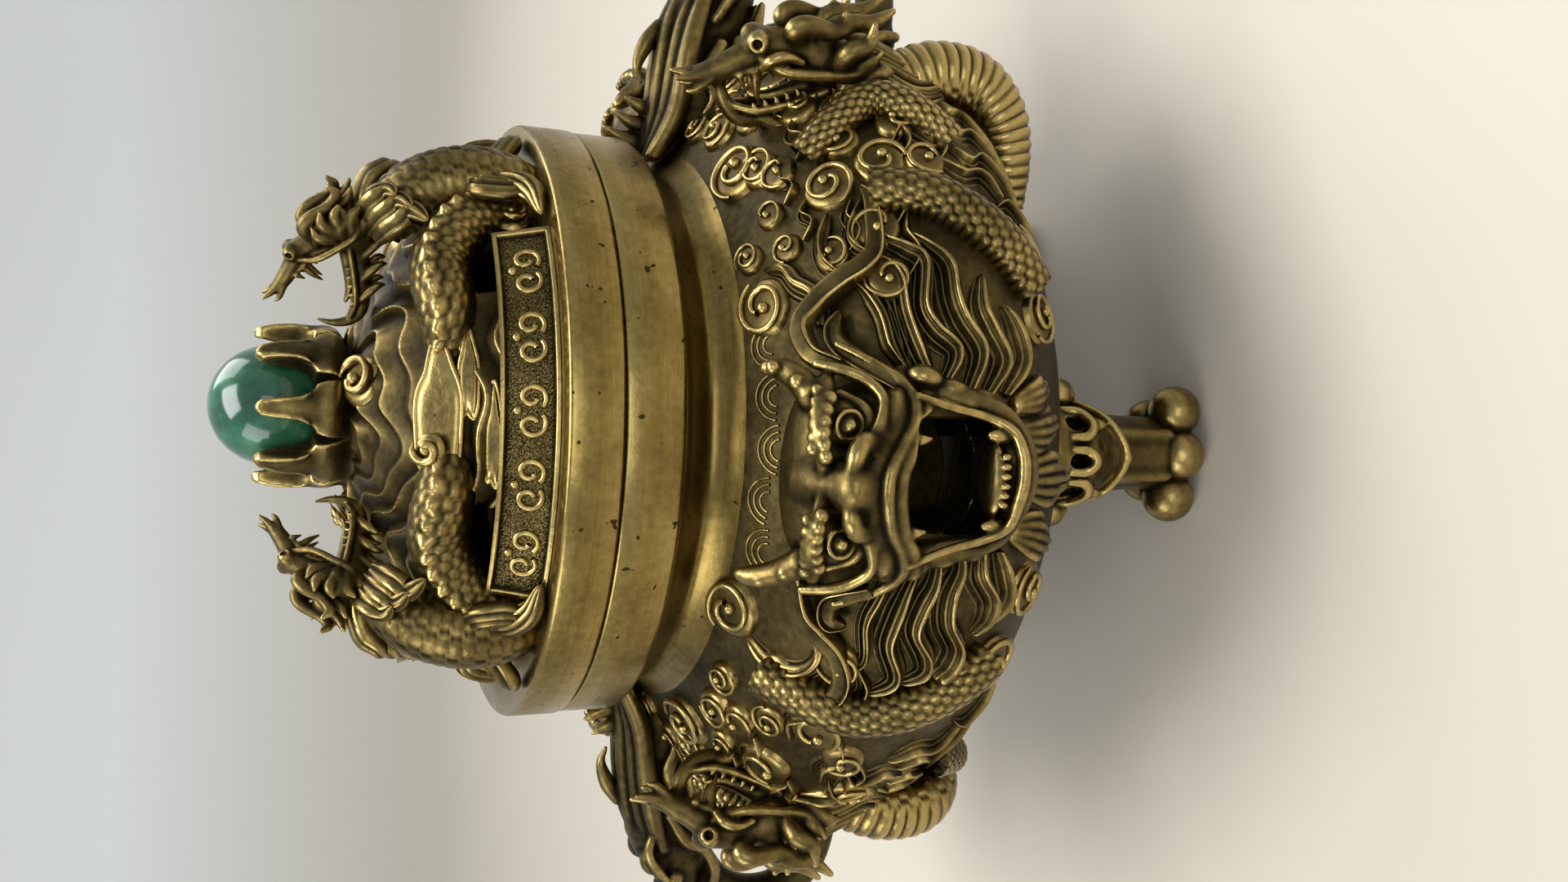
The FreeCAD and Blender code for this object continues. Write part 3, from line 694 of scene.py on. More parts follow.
def coil(rows, radius=5.6):
    """A scaled coil that runs down the belly, with its cross-plates towards the mask."""
    p, n, _, w = on_belly(full(rows, 2.0, radius))
    p, _, w, nx, ny, nz = evenly(p, 0.5, w, *n.T)
    n = unit(np.stack([nx, ny, nz], 1))
    side = unit(np.cross(unit(np.gradient(p, axis=0)), n))
    return p, unit(n + 0.55 * side * (-1 if rows[0][0] > 0 else 1)), w


def wave_arcs(az, z, size):
    """Three arches of a wave pattern, one inside the other."""
    parts = []
    for k in (1.0, 0.72, 0.44):
        a = np.linspace(0.1, np.pi - 0.1, 26)
        p, n = belly(az + size * k * np.cos(a) * 0.6, z + size * k * np.sin(a) * 0.55, 0.1)
        parts.append(cord(p, n, np.full(26, 0.42), 0.5, 8))
    return parts


def cloud_bank():
    """Cloud heads with trailing tails that crowd the shoulder between the larger curls."""
    placed_at = [(az, z, size) for az, z, size, _, _ in SCROLLS]
    parts = []
    for _ in range(900):
        side = rng.choice((-1, 1))
        az, z = rng.uniform(22, 60) * side, rng.uniform(112, 152)
        size = rng.uniform(4.4, 8.0)
        busy = z < 128 + 0.5 * max(abs(az) - 30, 0) and abs(az) < 38
        gaps = [math.hypot((az - a) * 1.9, (z - b) * 1.15) - 0.9 * (size + c) for a, b, c in placed_at]
        if busy or min(gaps) < 0 or len(placed_at) > 34:
            continue
        placed_at.append((az, z, size))
        hand, turns = rng.choice((-1, 1)), rng.uniform(0.6, 1.05)
        parts.append(scroll(az, z, size, rng.uniform(0, 6), hand, turns, 3.8))
        tail = [(az, z - 0.6 * size), (az + 0.45 * side * size, z - 1.05 * size),
                (az + 0.95 * side * size, z - 0.7 * size), (az + 1.5 * side * size, z - 1.1 * size)]
        parts.append(lock(tail, 0.5 * size, 3.4, 1, 0.4 * side))
    return parts


# Flame-like locks beside the mask, as az, z
FLAMES = [
    [(39, 82), (42.5, 86), (44, 93), (42, 99), (44.5, 105)],
          [(43.5, 80), (47, 85), (49, 92), (47.5, 98), (50, 103)],
    [(48, 79), (52, 84), (54, 90), (53, 96), (56, 101)], [(38, 90), (40, 97), (39, 104), (41.5, 111)],
    [(52, 104), (49, 110), (51, 117), (48, 123)], [(46, 102), (44, 109), (46, 116), (43, 122)],
    [(57, 100), (55, 107), (57, 114), (54.5, 120)], [(33, 80), (36, 84), (37, 89), (35.5, 94)]]


def sector():
    """Everything on the belly between two side dragons, round one mask."""
    parts = [lock(**h) for h in HAIR] + [band(**r) for r in RIBBONS]
    parts += [scroll(az, z, size, start, hand) for az, z, size, start, hand in SCROLLS]
    parts += cloud_bank()
    for rows in FLAMES:
        parts += [lock([(x * az, z) for az, z in rows], 3.4, 3.6, 2, 0.3 * x) for x in (-1, 1)]
    for az in (-14.5, -6, 2.5, 11, 19.5):
        parts += wave_arcs(az, 151 + 0.6 * math.cos(az), 6.5)
    for rows in ([(36.6, 130), (35.3, 119.5), (33.7, 112), (31.8, 104.8), (29, 96), (25, 88)],
                 [(-33.5, 146), (-32.6, 138.8), (-32.2, 129.5), (-31, 122), (-28.8, 113.2), (-26.5, 104.3),
                  (-23, 95)]):
        p, n, w = coil(rows)
        parts.append(scaled_body(p, n, w))
    return join(parts)


belly_relief = sector()
for name, az in MASKS.items():
    piece(f"relief_{name}", [turned(belly_relief, az)], CAST, "base", keen=0.7)


# The dragons' heads: the hinge of the jaws at the origin, lower jaw along +X, top of the head towards +Z
def build_head(close=0.0, jaw=1.0, eye=(-3.2, 11.2), mane=1.0, trail=1.0):
    """A head with open jaws.

    close turns the upper jaw down towards the lower one, in degrees. jaw, mane and trail stretch the
    lower jaw, the mane and the ribbons that stream back from the brow. eye is where the eye sits.
    """
    c = Clay((-46, -15, -30), (36, 15, 36), 0.5)
    lean = math.radians(close)

    def up(rows):
        return [(x * math.cos(lean) + z * math.sin(lean), y, -x * math.sin(lean) + z * math.cos(lean), r)
                for x, y, z, r in rows]

    def upper(rows, k=0.5, **more):
        c.path(up(rows), k=k, **more)

    def lower(rows, k=0.5):
        c.path([(x * jaw, y, z, r) for x, y, z, r in rows], k=k)

    def at(x, y, z):
        return up([(x, y, z, 0)])[0][:3]

    upper([(-8, 0, -2, 7), (-6, 0, 5, 7), (-3, 0, 11, 5.4), (1, 0, 16, 4.6), (4, 0, 19.5, 4)], k=2)
    upper([(4, 0, 18.5, 4.0), (10, 0, 19.8, 3.6), (16, 0, 21.6, 3.2), (20.5, 0, 23.6, 2.6)], k=1.5)
    lower([(-7, 0, -2, 5.6), (4, 0, -3, 4.1), (14, 0, -3, 3.3), (21, 0, -1, 2.7), (24, 0, 4, 2.1),
           (24.2, 0, 10, 1.4), (22.5, 0, 15.5, 0.5)], k=2)
    lower([(-2, 0, 1.6, 2.8), (6, 0, 1.2, 2.4), (13, 0, 1.8, 1.8), (17, 0, 4, 0.9)], k=0.8)
    for y in (-1, 1):
        upper([(19, 0.8 * y, 23, 1.9), (23, 1.8 * y, 26, 1.3), (25.5, 2.6 * y, 28.5, 0.6)], k=0.6)
        upper([(19, 1.4 * y, 22, 1.7), (23.5, 2.6 * y, 22.6, 1.1), (25.5, 3 * y, 24, 0.5)], k=0.6)
        upper([(-3, 5 * y, 3, 1.5), (-0.5, 4.6 * y, 9, 1.4), (3, 3.8 * y, 13.5, 1.4), (9, 2.9 * y, 16.4, 1.2),
               (15, 2.0 * y, 19.5, 0.9)])
        for x, z in ((3.5, 12.5), (5.7, 13.6), (13, 17)):
            upper([(x, 3 * y, z + 1, 1.2), (x + 1.0, 2.9 * y, z - 2.4, 0.4)], k=0.4)
        upper([(9.3, 2.4 * y, 15.5, 1.7), (11.8, 2.4 * y, 12, 1.2), (13.8, 2.2 * y, 8, 0.4)], k=0.5)
        c.ball(at(4.2, 2.8 * y, 21.4), 3.0, k=1.0)
        c.ball(at(4.9, 5.2 * y, 22.2), 1.4, k=0.4, carve=True)
        x, z = eye
        c.ball(at(x, 4.9 * y, z), 2.7, k=0.4)
        c.ball(at(x, 7.0 * y, z), 1.1, k=0.3, carve=True)
        upper([(x + 3.7, 4.5 * y, z + 2.8, 1.2), (x + 0.7, 6 * y, z + 3.4, 1.6),
               (x - 2.8, 6.4 * y, z + 1.4, 1.5), (x - 4.8, 6.2 * y, z - 2.5, 1.0)], k=0.6)
        # the eyebrow that streams back, the horn and the ear
        upper([(-4, 3.6 * y, 15, 2.0), (-9 * trail, 4.8 * y, 18.4, 2.9), (-15 * trail, 5.6 * y, 17, 2.7),
               (-22 * trail, 5.6 * y, 11.5, 2.1), (-28 * trail, 5 * y, 9.5, 2.0),
               (-31 * trail, 4.5 * y, 12.5, 0.9)],
              k=0.8, flat=(0, 1.3, 0))
        upper([(-8, 2.6 * y, 9, 2.9), (-14, 3.6 * y, 11, 2.6), (-21, 4.2 * y, 6, 2.0),
               (-27, 4.4 * y, 4.5, 0.9)], k=0.8)
        upper([(-7, 6.2 * y, 3, 2.3), (-12, 9 * y, 6, 2.9), (-17, 10 * y, 5, 2.1), (-21, 10 * y, 8, 0.8)],
              k=0.7)
        # lips and teeth of the lower jaw
        lower([(-2, 4.8 * y, 0, 1.4), (8, 4.0 * y, -0.4, 1.3), (17, 3.1 * y, 0.4, 1.2),
               (23, 1.2 * y, 3.4, 0.9)])
        for x in (5, 8, 11, 14, 17):
            lower([(x, 3.2 * y, 0.2, 1.1), (x + 0.4, 3.1 * y, 2.6, 0.4)], k=0.3)
        # whiskers, beard and mane
        upper([(6, 3.8 * y, 18, 1.2), (3, 7 * y, 12, 1.4), (-4, 8.4 * y, 5, 1.5), (-11, 9.8 * y, 0, 1.4),
               (-18, 10.5 * y, 1, 0.8)])
        for x, z in ((16, -4), (9, -5.5), (2, -6)):
            c.path([(x * jaw, 2.2 * y, z + 2, 1.8), (x * jaw - 4, 3.4 * y, z - 2, 2.0),
                    (x * jaw - 6, 3.6 * y, z - 5, 1.5), (x * jaw - 6, 3.2 * y, z - 7.5, 0.6)], k=0.6)
        for angle, length, out in ((58, 16, 7.5), (30, 19, 9), (4, 20, 10), (-22, 20, 10), (-48, 18, 8.5),
                                   (-76, 15, 6)):
            a = math.radians(180 - angle)
            dx, dz = math.cos(a) * mane, math.sin(a) * mane
            c.path([(-6 + 3 * dx, 4 * y, 1 + 3 * dz, 2.8),
                    (-6 + 0.4 * length * dx, out * 0.8 * y, 1 + 0.4 * length * dz, 3.2),
                    (-6 + 0.75 * length * dx + 2.2 * dz, out * y, 1 + 0.75 * length * dz - 2.2 * dx, 2.5),
                    (-6 + length * dx, out * y, 1 + length * dz, 0.8)], k=0.6)
    return c.skin(0.36)


def placed(part, at, forward, top, size=1.0):
    """The part scaled, with its +X along forward and its +Z towards top, moved to at."""
    x = Vector(forward).normalized()
    y = Vector(top).cross(x).normalized()
    z = x.cross(y)
    turn = Matrix((x, y, z)).transposed().to_4x4()
    return moved(part, Matrix.Translation(at) @ turn @ Matrix.Scale(size, 4))


def polar(rho, az, z):
    a = math.radians(az)
    return np.array([rho * math.sin(a), -rho * math.cos(a), z])


def tube(rows, step=0.5, back=None, **more):
    """A scaled body through rows of x, y, z, radius. Its back looks away from what back gives."""
    s = spline(rows, 12)
    p, _, r = evenly(s[:, :3], step, s[:, 3])
    n = unit(p - np.array(back(p)))
    return scaled_body(p, n, r, **more)


def frond(rows, width, height, normal, strands=2):
    """A free lock of hair through x, y, z rows, fat in the middle and pointed at its tip."""
    p, t = evenly(spline(rows, 10), 0.7)
    n = np.broadcast_to(unit(np.array(normal, float)), p.shape)
    a, fat = around(22), taper(t, 0.6, 0.4)[:, None]
    u, v = -np.cos(a), np.sin(a)
    ridge = np.cos(2 * np.pi * strands * (u - 0.1)) * np.clip(v, 0, 1) ** 0.5
    high = v * height * fat * (1 + 0.3 * ridge)
    # Its top side and ridges are painted brighter than its underside: painted highlight and painted shade,
    # partly wear
    return sweep(p, n, u * width * fat, high, True, np.clip(0.14 + 0.12 * v + 0.26 * ridge, 0.04, 1))


# Side dragons: a ringed neck that swells off the belly, a mane and an upturned head
side_head = build_head(24, 1.0, (3.5, 13.5), 0.62, 0.55)


def build_side_dragon():
    def axis(p):
        return np.stack([0 * p[:, 0], 0 * p[:, 0] - 175, np.clip(p[:, 2], 88, 130)], 1)

    neck = tube([(-17, -96, 68, 5), (-11, -109, 70, 7), (-5, -119, 74, 8.6), (0, -126, 83, 9.4),
                 (1, -127, 96, 9.2), (0, -122, 108, 9.4), (0, -119, 120, 9.5), (0, -121, 130, 8.5)], 0.55,
                axis, scale=3.6, lift=0.36)
    parts = [neck, placed(side_head, (0, -119.5, 132), (0, 0.45, 0.89), (0, -0.89, 0.45), 1.08)]
    for x in (-1, 1):
        for i, (dx, length, bend) in enumerate([(2.5, 34, 2), (6.5, 36, 4), (10.5, 31, 5), (14, 25, 6),
                                                (16.5, 19, 6)]):
            top = 132 - 2.5 * i
            rows = [(x * dx * 0.6, -126 + 1.3 * i, top), (x * dx, -131.5 + 2.6 * i, top - 0.3 * length),
                    (x * (dx + bend * 0.5), -128.5 + 2.6 * i, top - 0.65 * length),
                    (x * (dx - 1), -131 + 3 * i, top - length)]
            parts.append(frond(rows, 4.0, 3.2, (x * 0.3, -1, 0.1)))
    for x in (-1, 1):
        p, n, w = coil([(14 * x, 92), (11.5 * x, 86, 3), (8 * x, 80, 5), (5 * x, 76, 5)] if x > 0 else
                       [(-14, 140), (-11, 132, 3), (-9, 122, 4), (-12, 112, 3), (-15, 104, 1)], 4.6)
        parts.append(scaled_body(p, n, w, 2.6))
    parts += [scroll(x * 9, z, 6.4, 1.5 + x, x) for x, z in ((-1, 148), (1, 150))]
    return join(parts)


side_dragon = build_side_dragon()
for name, az in SIDE_DRAGONS.items():
    piece(f"dragon_{name}", [turned(side_dragon, az)], CAST, "base", replaces=[f"side_dragon_{name}"])


# Handles: a maned beast's head that bites a smooth round bar
def build_handle():
    c = Clay((84, -20, 76), (173, 20, 180), 0.7)
    c.path([(100, 0, 146, 12), (118, 0, 146, 13.5), (136, 0, 143, 13), (146, 0, 139, 11)], k=3)
    for y in (-13, -8.5, -3, 3, 8.5, 13):
        c.path([(84, y * 0.7, 163, 2.6), (98, y, 161 - abs(y) * 0.3, 3.2),
                (114, y * 1.1, 160 - abs(y) * 0.4, 3.3), (128, y, 158 - abs(y) * 0.5, 3.0),
                (140, y * 0.8, 153 - abs(y) * 0.5, 2.2)], k=0.7)
        c.path([(96, y * 1.1, 142, 2.6), (110, y * 1.25, 137 - abs(y) * 0.3, 3.0), (122, y * 1.2, 134, 2.6),
                (134, y, 131, 1.2)], k=0.7)
    for y in (-1, 1):
        c.ball((145, 7.2 * y, 148), (5.8, 4.6, 5.4), k=1.2)
        c.ball((151.5, 8.6 * y, 141.5), 3.2, k=0.5)
        c.path([(132, 12 * y, 150, 1.2), (141, 12 * y, 152, 1.6), (149, 11 * y, 147, 1.5),
                (153, 10 * y, 143, 0.8)], k=0.6)
        c.path([(128, 13 * y, 146, 1.8), (137, 14 * y, 140, 2.0), (141, 13.5 * y, 133, 1.8),
                (150, 11.5 * y, 128, 1.8), (158, 7 * y, 128, 1.7), (161, 3 * y, 131, 1.5)], k=0.7)
        c.path([(120, 13.5 * y, 144, 2.4), (112, 15.5 * y, 148, 2.6), (104, 15.5 * y, 146, 1.8),
                (98, 14.5 * y, 149, 0.7)], k=0.8)
        c.path([(122, 13.5 * y, 138, 2.4), (113, 15.8 * y, 140, 2.4), (105, 15.6 * y, 137, 1.6),
                (99, 14.5 * y, 139, 0.7)], k=0.8)
        c.ball((160, 3.2 * y, 141), (4.4, 3.4, 3.6), k=1.2)
        c.ball((163.6, 3.4 * y, 139.6), 1.3, k=0.4, carve=True)
    c.ball((155, 0, 137), (9, 8, 7), k=3)
    c.path([(126, 0, 160, 2.2), (120, 0, 164, 2.6), (113, 0, 166.5, 1.6), (108, 0, 165, 0.7)], k=1)
    for x, z in ((86, 172), (91, 175), (96, 172), (101, 169)):
        c.path([(x - 2, 0, z - 9, 3.2), (x, 0, z - 3, 2.0), (x + 2, 0, z + 1, 0.6)], k=1, flat=(0, 1.2, 0))
    c.path([(148, 0, 132, 6), (158, 0, 125, 6.4), (164.5, 0, 114, 6.6), (164.5, 0, 101, 6.6),
            (157, 0, 90.5, 6.5), (145, 0, 85.8, 6.4), (131, 0, 86, 6.4), (118, 0, 88, 7)], k=1.5)
    c.ball((131, 0, 86.5), (7.5, 8.6, 8.6), k=2)
    for y in (-1, 1):
        c.path([(126, 6 * y, 92, 2), (131, 8.6 * y, 88, 2.2), (132, 7.6 * y, 81, 1.8)], k=0.8)
    return c.skin(0.22)


one_handle = build_handle()
piece("handle_right_cast", [one_handle], CAST, "base", replaces=["handle_right"])
piece("handle_left_cast", [turned(one_handle, 180)], CAST, "base", replaces=["handle_left"])


# Legs: hooks and fangs at the knee, a lip, a plain flared shin and a foot of round toes
def knee(x, z, out=0.0):
    """A point on the front of the knee."""
    return (x, -77.5 - math.sqrt(max(15.2 ** 2 - x * x, 4)) - out, z)


def build_leg():
    c = Clay((-27, -102, -1), (27, -50, 70), 0.5)
    c.path([(0, -78, 62, 16), (0, -78, 52, 14.6), (0, -77.5, 46, 13.2), (0, -76.5, 38, 12.2),
            (0, -75, 28, 11.6), (0, -74, 18, 11.4), (0, -73, 11, 10.5)], k=2)
    for x in (-6.5, 6.5):
        c.path([(x, -86.5, 38, 1.8), (0.97 * x, -84, 26, 1.6), (0.97 * x, -82.5, 14, 1.6)], k=2.2)
    for x in (-1, 1):
        lip = [knee(0, 37.5), knee(3.5 * x, 38.2), knee(7.5 * x, 40), knee(11.5 * x, 42.5),
               (14.6 * x, -79, 46), (15.2 * x, -73, 49)]
        c.path([(*q, r) for q, r in zip(lip, (1.7, 1.4, 1.3, 1.2, 1.2, 0.9))], k=0.6)
        c.ball((17.5 * x, -79, 55), (4.6, 5, 5), k=1)
        c.ball((20.5 * x, -75, 58.5), (4.4, 5, 4.4), k=1)
        c.ball((17 * x, -75, 49.5), (3.2, 4, 3.6), k=1)
        c.path([(17 * x, -82, 59, 1.6), (20.5 * x, -80, 56, 1.8), (20.4 * x, -78.5, 51, 1.5),
                (17.6 * x, -78, 47.5, 0.8)], k=0.5)
    for x, wide, low, fang in ((-11, 3.6, 49.2, 1), (-1.2, 3.4, 50, 0), (9.4, 3.8, 50, 1)):
        hook = [knee(x - wide, low + 6.5, 0.4), knee(x - wide * 0.85, low + 1.8, 1.4),
                knee(x, low - 0.3, 2.0), knee(x + wide * 0.85, low + 1.8, 1.4),
                knee(x + wide, low + 6.5, 0.4)]
        c.path([(*q, r) for q, r in zip(hook, (1.2, 1.6, 1.8, 1.6, 1.2))], k=0.4)
        c.ball(knee(x, low + 4.5, -0.5), (2.0, 3.0, 3.0), k=0.6, carve=True)
        if fang:
            c.path([(*knee(x, low - 1, 0.4), 1.9), (*knee(x, low - 4, 0.6), 1.6),
                    (*knee(x, low - 6.5, 0), 0.6)], k=0.4)
    for x in (-4.5, 4.3):
        c.ball(knee(x, 44, 0.5), (3.2, 2.6, 2.6), k=1.2, carve=True)
    for x, back in ((0, 0), (-13.5, 3.5), (13.5, 3.5), (-8.5, 15), (8.5, 15)):
        c.ball((x, back - 80.5, 8.0), 8.0, k=1.0)
    c.hollow(lambda p: p[..., 2], (-30, -110, -3), (30, -40, 1), k=0.2)
    return c.skin(0.5)


one_leg = build_leg()
for name, az in MASKS.items():
    piece(f"leg_{name}_cast", [turned(one_leg, az + LEG_TURN)], CAST, "base", replaces=[f"leg_{name}"])


# The lid: a turned flange and a dome of layered clouds with smoke holes
def lid_turned(part, az=0.0):
    return turned(part, az + LID_TURN)


flange_line = [(85, 190.3), (89.2, 190.3), (89.8, 190.6), (90, 191.2), (90, 197), (90, 203.9),
               (89.7, 204.6), (89, 205), (82, 205.2), (74, 205.6), (70, 205.8), (66, 205.8), (66, 181),
               (70, 181), (70, 199), (85, 199), (85, 190.3)]
piece("lid_flange", [lid_turned(revolved(flange_line, 360))], SATIN, "lid", replaces=["lid"], keen=0.5)


def dome_part():
    """The dome's skin: terraces of cloud that wander round it, steep on their lower side."""
    line = spline([(74, 204), (71.5, 210), (68.5, 217), (64, 225), (57.5, 232), (48, 238.5), (38, 243.5),
                   (28.5, 247), (21, 248.8), (15.5, 249.3), (11, 249.5)], 14)
    line, t = evenly(line, 0.55)
    a, t = around(600), t[:, None]
    wander = (0.75 * np.sin(3 * a + 0.6 + 2 * t) + 0.4 * np.sin(7 * a + 2.1 + 3 * t)
              + 0.2 * np.sin(16 * a + 1.3 - 5 * t))
    step = (8.5 * t + wander) % 1.0
    rise = np.where(step < 0.72, (step / 0.72) ** 1.6, ((1 - step) / 0.28) ** 1.5)
    rise = rise * (0.65 + 0.35 * np.sin(4 * a + 9 * t)) * np.clip(t / 0.08, 0, 1) * np.clip((1 - t) / 0.1,
                                                                                            0, 1)
    along = unit(np.gradient(line, axis=0))
    r = line[:, :1] + along[:, 1:] * rise * 3.0
    z = line[:, 1:] - along[:, :1] * rise * 3.0
    # The terrace crests are painted brighter than the low steps between them: painted highlight and painted
    # shade, partly wear
    outer = skin(np.stack([np.sin(a) * r, -np.cos(a) * r, z], -1), np.clip(0.3 + 0.2 * rise, 0, 1))
    # The dome's inner face is painted close to the darkest colour, as painted shade under the lid
    return outer, revolved(evenly(line - (5.5, 5.5), 3.0)[0][::-1], 180, lift=0.05)


SMOKE_HOLES = [az + s * 20 for az in LID_DRAGONS.values() for s in (-1, 1)]


def in_hole(p):
    az = np.degrees(np.arctan2(p[:, 0], -p[:, 1]))
    rho = np.hypot(p[:, 0], p[:, 1])
    hit = np.zeros(len(p), bool)
    for hole in SMOKE_HOLES:
        x = np.radians((az - hole + 180) % 360 - 180) * rho
        hit |= (x / 9.5) ** 2 + ((p[:, 2] - 219.5) / 8.0) ** 2 < 1
    return hit


dome_out, dome_in = dome_part()
piece("lid_dome", [lid_turned(without(dome_out, in_hole)), lid_turned(without(dome_in, in_hole))], CAST,
      "lid", keen=0.6)


def arch(side):
    """Half of a lid dragon's body: it leaves the neck, bridges a smoke hole and sinks into the clouds."""
    rows = [(*polar(rho, side * az, z), r) for az, z, rho, r in
            [(3, 209, 73, 6), (6, 218, 73, 6.8), (11, 226.5, 69.5, 7.4), (18, 231, 66, 7.6),
             (25, 231, 64.5, 7.5), (31, 229.5, 62.5, 7.2), (37, 228, 57, 6.6), (42, 226, 51, 5.6)]]
    return tube(rows, 0.5, lambda p: p * 0 + (0, 0, 190), scale=3.1, lift=0.2, spine=True, scutes=False)


lid_head = build_head(-16, 1.3, (-5, 10), 0.85, 0.85)


def build_lid_dragon():
    parts = [arch(-1), arch(1)]
    neck = [(0, -71, 204, 9), (0, -76, 214, 10), (0, -77, 225, 9.6), (0, -73, 236, 8.6), (0, -64, 245, 7)]
    parts.append(tube(neck, 0.5, lambda p: p * (0, 0, 1) - (0, 50, 4), scale=3.0, lift=0.14))
    parts.append(placed(lid_head, (0, -54.5, 252.5), (0, 0.98, -0.17), (0, 0.17, 0.98), 0.7))
    for x in (-1, 1):
        for i in range(3):
            rows = [(x * (2 + 3 * i), -64 + i, 250 - 2 * i), (x * (6 + 3 * i), -72 + 1.5 * i, 248 - 3 * i),
                    (x * (8 + 2.4 * i), -76 + 1.5 * i, 244.5 - 3 * i),
                    (x * (12 + 3 * i), -77 + 2 * i, 243 - 4 * i)]
            parts.append(frond(rows, 3.4, 3.0, (x * 0.6, -1, 0.6), 1))
        low_claw = [(x * 5, -76, 219), (x * 10, -82, 213), (x * 17, -83, 208.5), (x * 24, -80, 207)]
        high_claw = [(x * 7, -79, 224), (x * 12, -81, 220), (x * 14, -82, 213), (x * 12, -85, 208)]
        parts.append(frond(low_claw, 3.8, 3.0, (0, -0.5, 1)))
        parts.append(frond(high_claw, 3.6, 2.8, (0, -1, 0.4)))
    return join(parts)


lid_dragon = build_lid_dragon()
for name, az in LID_DRAGONS.items():
    piece(f"dragon_on_lid_{name}", [lid_turned(lid_dragon, az)], CAST, "lid",
          replaces=[f"lid_dragon_{name}"], keen=0.8)


# The cup of claws and the clouds under it
def build_cup():
    c = Clay((-25, -28, 242), (31, 28, 282), 0.45)
    c.ball(PEARL - (0, 0, 3), (23, 23, 19.5), k=0.5)
    c.path([(0, 0, 241, 23), (1, 0, 247, 17), (2.4, 0, 251, 14.5), (3, 0, 256, 15)], k=5)
    ring = np.linspace(0, 2 * math.pi, 25)
    c.path([(3 + 19.3 * math.cos(a), 19.3 * math.sin(a), 256.5, 4.6) for a in ring], k=3)
    for i in range(8):
        a = math.radians(45 * i + 4)
        s, q = math.sin(a), -math.cos(a)
        rows = [(14, 254, 4), (19, 257.5, 4.0), (21, 262, 3.6), (21.4, 266.5, 3.0), (21, 270.5, 2.4),
                (20.8, 274, 1.8)]
        c.path([(3 + r * s, r * q, z, w) for r, z, w in rows], k=3.5, flat=(1.5 * s, 1.5 * q, 0))
        for b in (-1, 1):
            lip = [(21.8, 274, 1.5), (22.7, 270.5, 2.3), (23.1, 266, 3.1), (22.9, 262.5, 4.2),
                   (22.4, 259.6, 8.4)]
            c.path([(3 + r * s - b * w * q, r * q + b * w * s, z, 0.85) for r, z, w in lip], k=0.6)

    def gap(p):
        x, y = p[..., 0] - 3, p[..., 1]
        a = np.degrees(np.arctan2(x, -y)) - 4
        off = np.radians(a % 45 - 22.5) * 23
        claw = np.radians((a + 22.5) % 45 - 22.5) * 23
        slot = np.hypot(off, np.minimum(p[..., 2] - 265.2, 0)) - 5.6 - 0.08 * np.maximum(p[..., 2] - 263, 0)
        tip = 275.8 - 0.3 * claw ** 2 - p[..., 2]
        return np.where(np.hypot(x, y) > 8, np.minimum(slot, tip), 3.0)

    c.hollow(gap, c.low, c.low + 90, k=1.0)
    c.hollow(lambda p: np.linalg.norm(p - PEARL, axis=-1) - CUP_R, c.low, c.low + 90, k=0.4)
    c.hollow(lambda p: np.linalg.norm(p - PEARL - (0, 0, 6), axis=-1) - CUP_R - 1, c.low, c.low + 90, k=0.4)
    return c.skin(0.42)


piece("claw_cup_cast", [build_cup()], CAST, "lid", replaces=["claw_cup"])


def curl(at, normal, size, hand, turns):
    """A free-standing cloud curl on a plane: a lobe with a ridge that winds in to a round eye."""
    height = 3.0
    n = Vector(normal).normalized()
    x = Vector((0, 0, 1)).cross(n).normalized()
    y = n.cross(x)
    frame3 = np.array((x, y, n))
    s = np.linspace(0, 1, 60)
    wind = 1.2 + hand * s * turns * 2 * np.pi
    r = size * (0.95 - 0.68 * s ** 1.1)
    p = np.stack([r * np.cos(wind), r * np.sin(wind), height * (0.5 + 0.3 * s)], 1) @ frame3 + at
    rho, a = np.linspace(0.02, 1, 9)[:, None] * size, around(36)
    dome = height * 0.45 * (1 - (rho / size) ** 8) - 0.8
    # The ridge and eye are painted brighter than the disc: painted highlight, partly wear
    disc = skin(np.stack([rho * np.cos(a), rho * np.sin(a), dome + 0 * a], -1) @ frame3 + at, 0.3)
    eye = np.array((0, 0, height * 0.8)) @ frame3 + at
    ridge = cord(p, np.broadcast_to(np.array(n), p.shape), 1.15 * np.clip(s / 0.1, 0.2, 1) * hand, 0.62)
    return join([disc, ridge, bead(eye, size * 0.2 + 0.4, 0.6)])


def ruyi(az, z, rho, wide, tall):
    """A broad cloud head that lies on the dome: a flat lobed plate with a raised rim."""
    a = around(120)[0]
    edge = 1 + 0.1 * np.cos(3 * a + 0.5) + 0.07 * np.cos(5 * a)
    k = np.linspace(0.02, 1, 14)[:, None]
    u, v = k * edge * np.cos(a) * wide, k * edge * np.sin(a) * tall * np.where(np.sin(a) > 0, 0.8, 1.1)
    turn = np.radians(az) + u / rho
    r = rho + 2.5 - 0.55 * v - 4.5 * k ** 8 + 0 * u
    plate = np.stack([np.sin(turn) * r, -np.cos(turn) * r, z + 0.83 * v - 2.0 * k ** 8], -1)
    # The plate is painted brighter toward its raised rim: painted highlight, partly wear
    parts = [skin(plate, 0.42 + 0.1 * k ** 6)]
    rim = plate[11]
    out = unit(np.stack([np.sin(turn[11]), -np.cos(turn[11]), np.full(120, 0.6)], -1))
    parts.append(cord(np.vstack([rim, rim[:1]]), np.vstack([out, out[:1]]), np.full(121, 0.7), 0.55))
    return parts


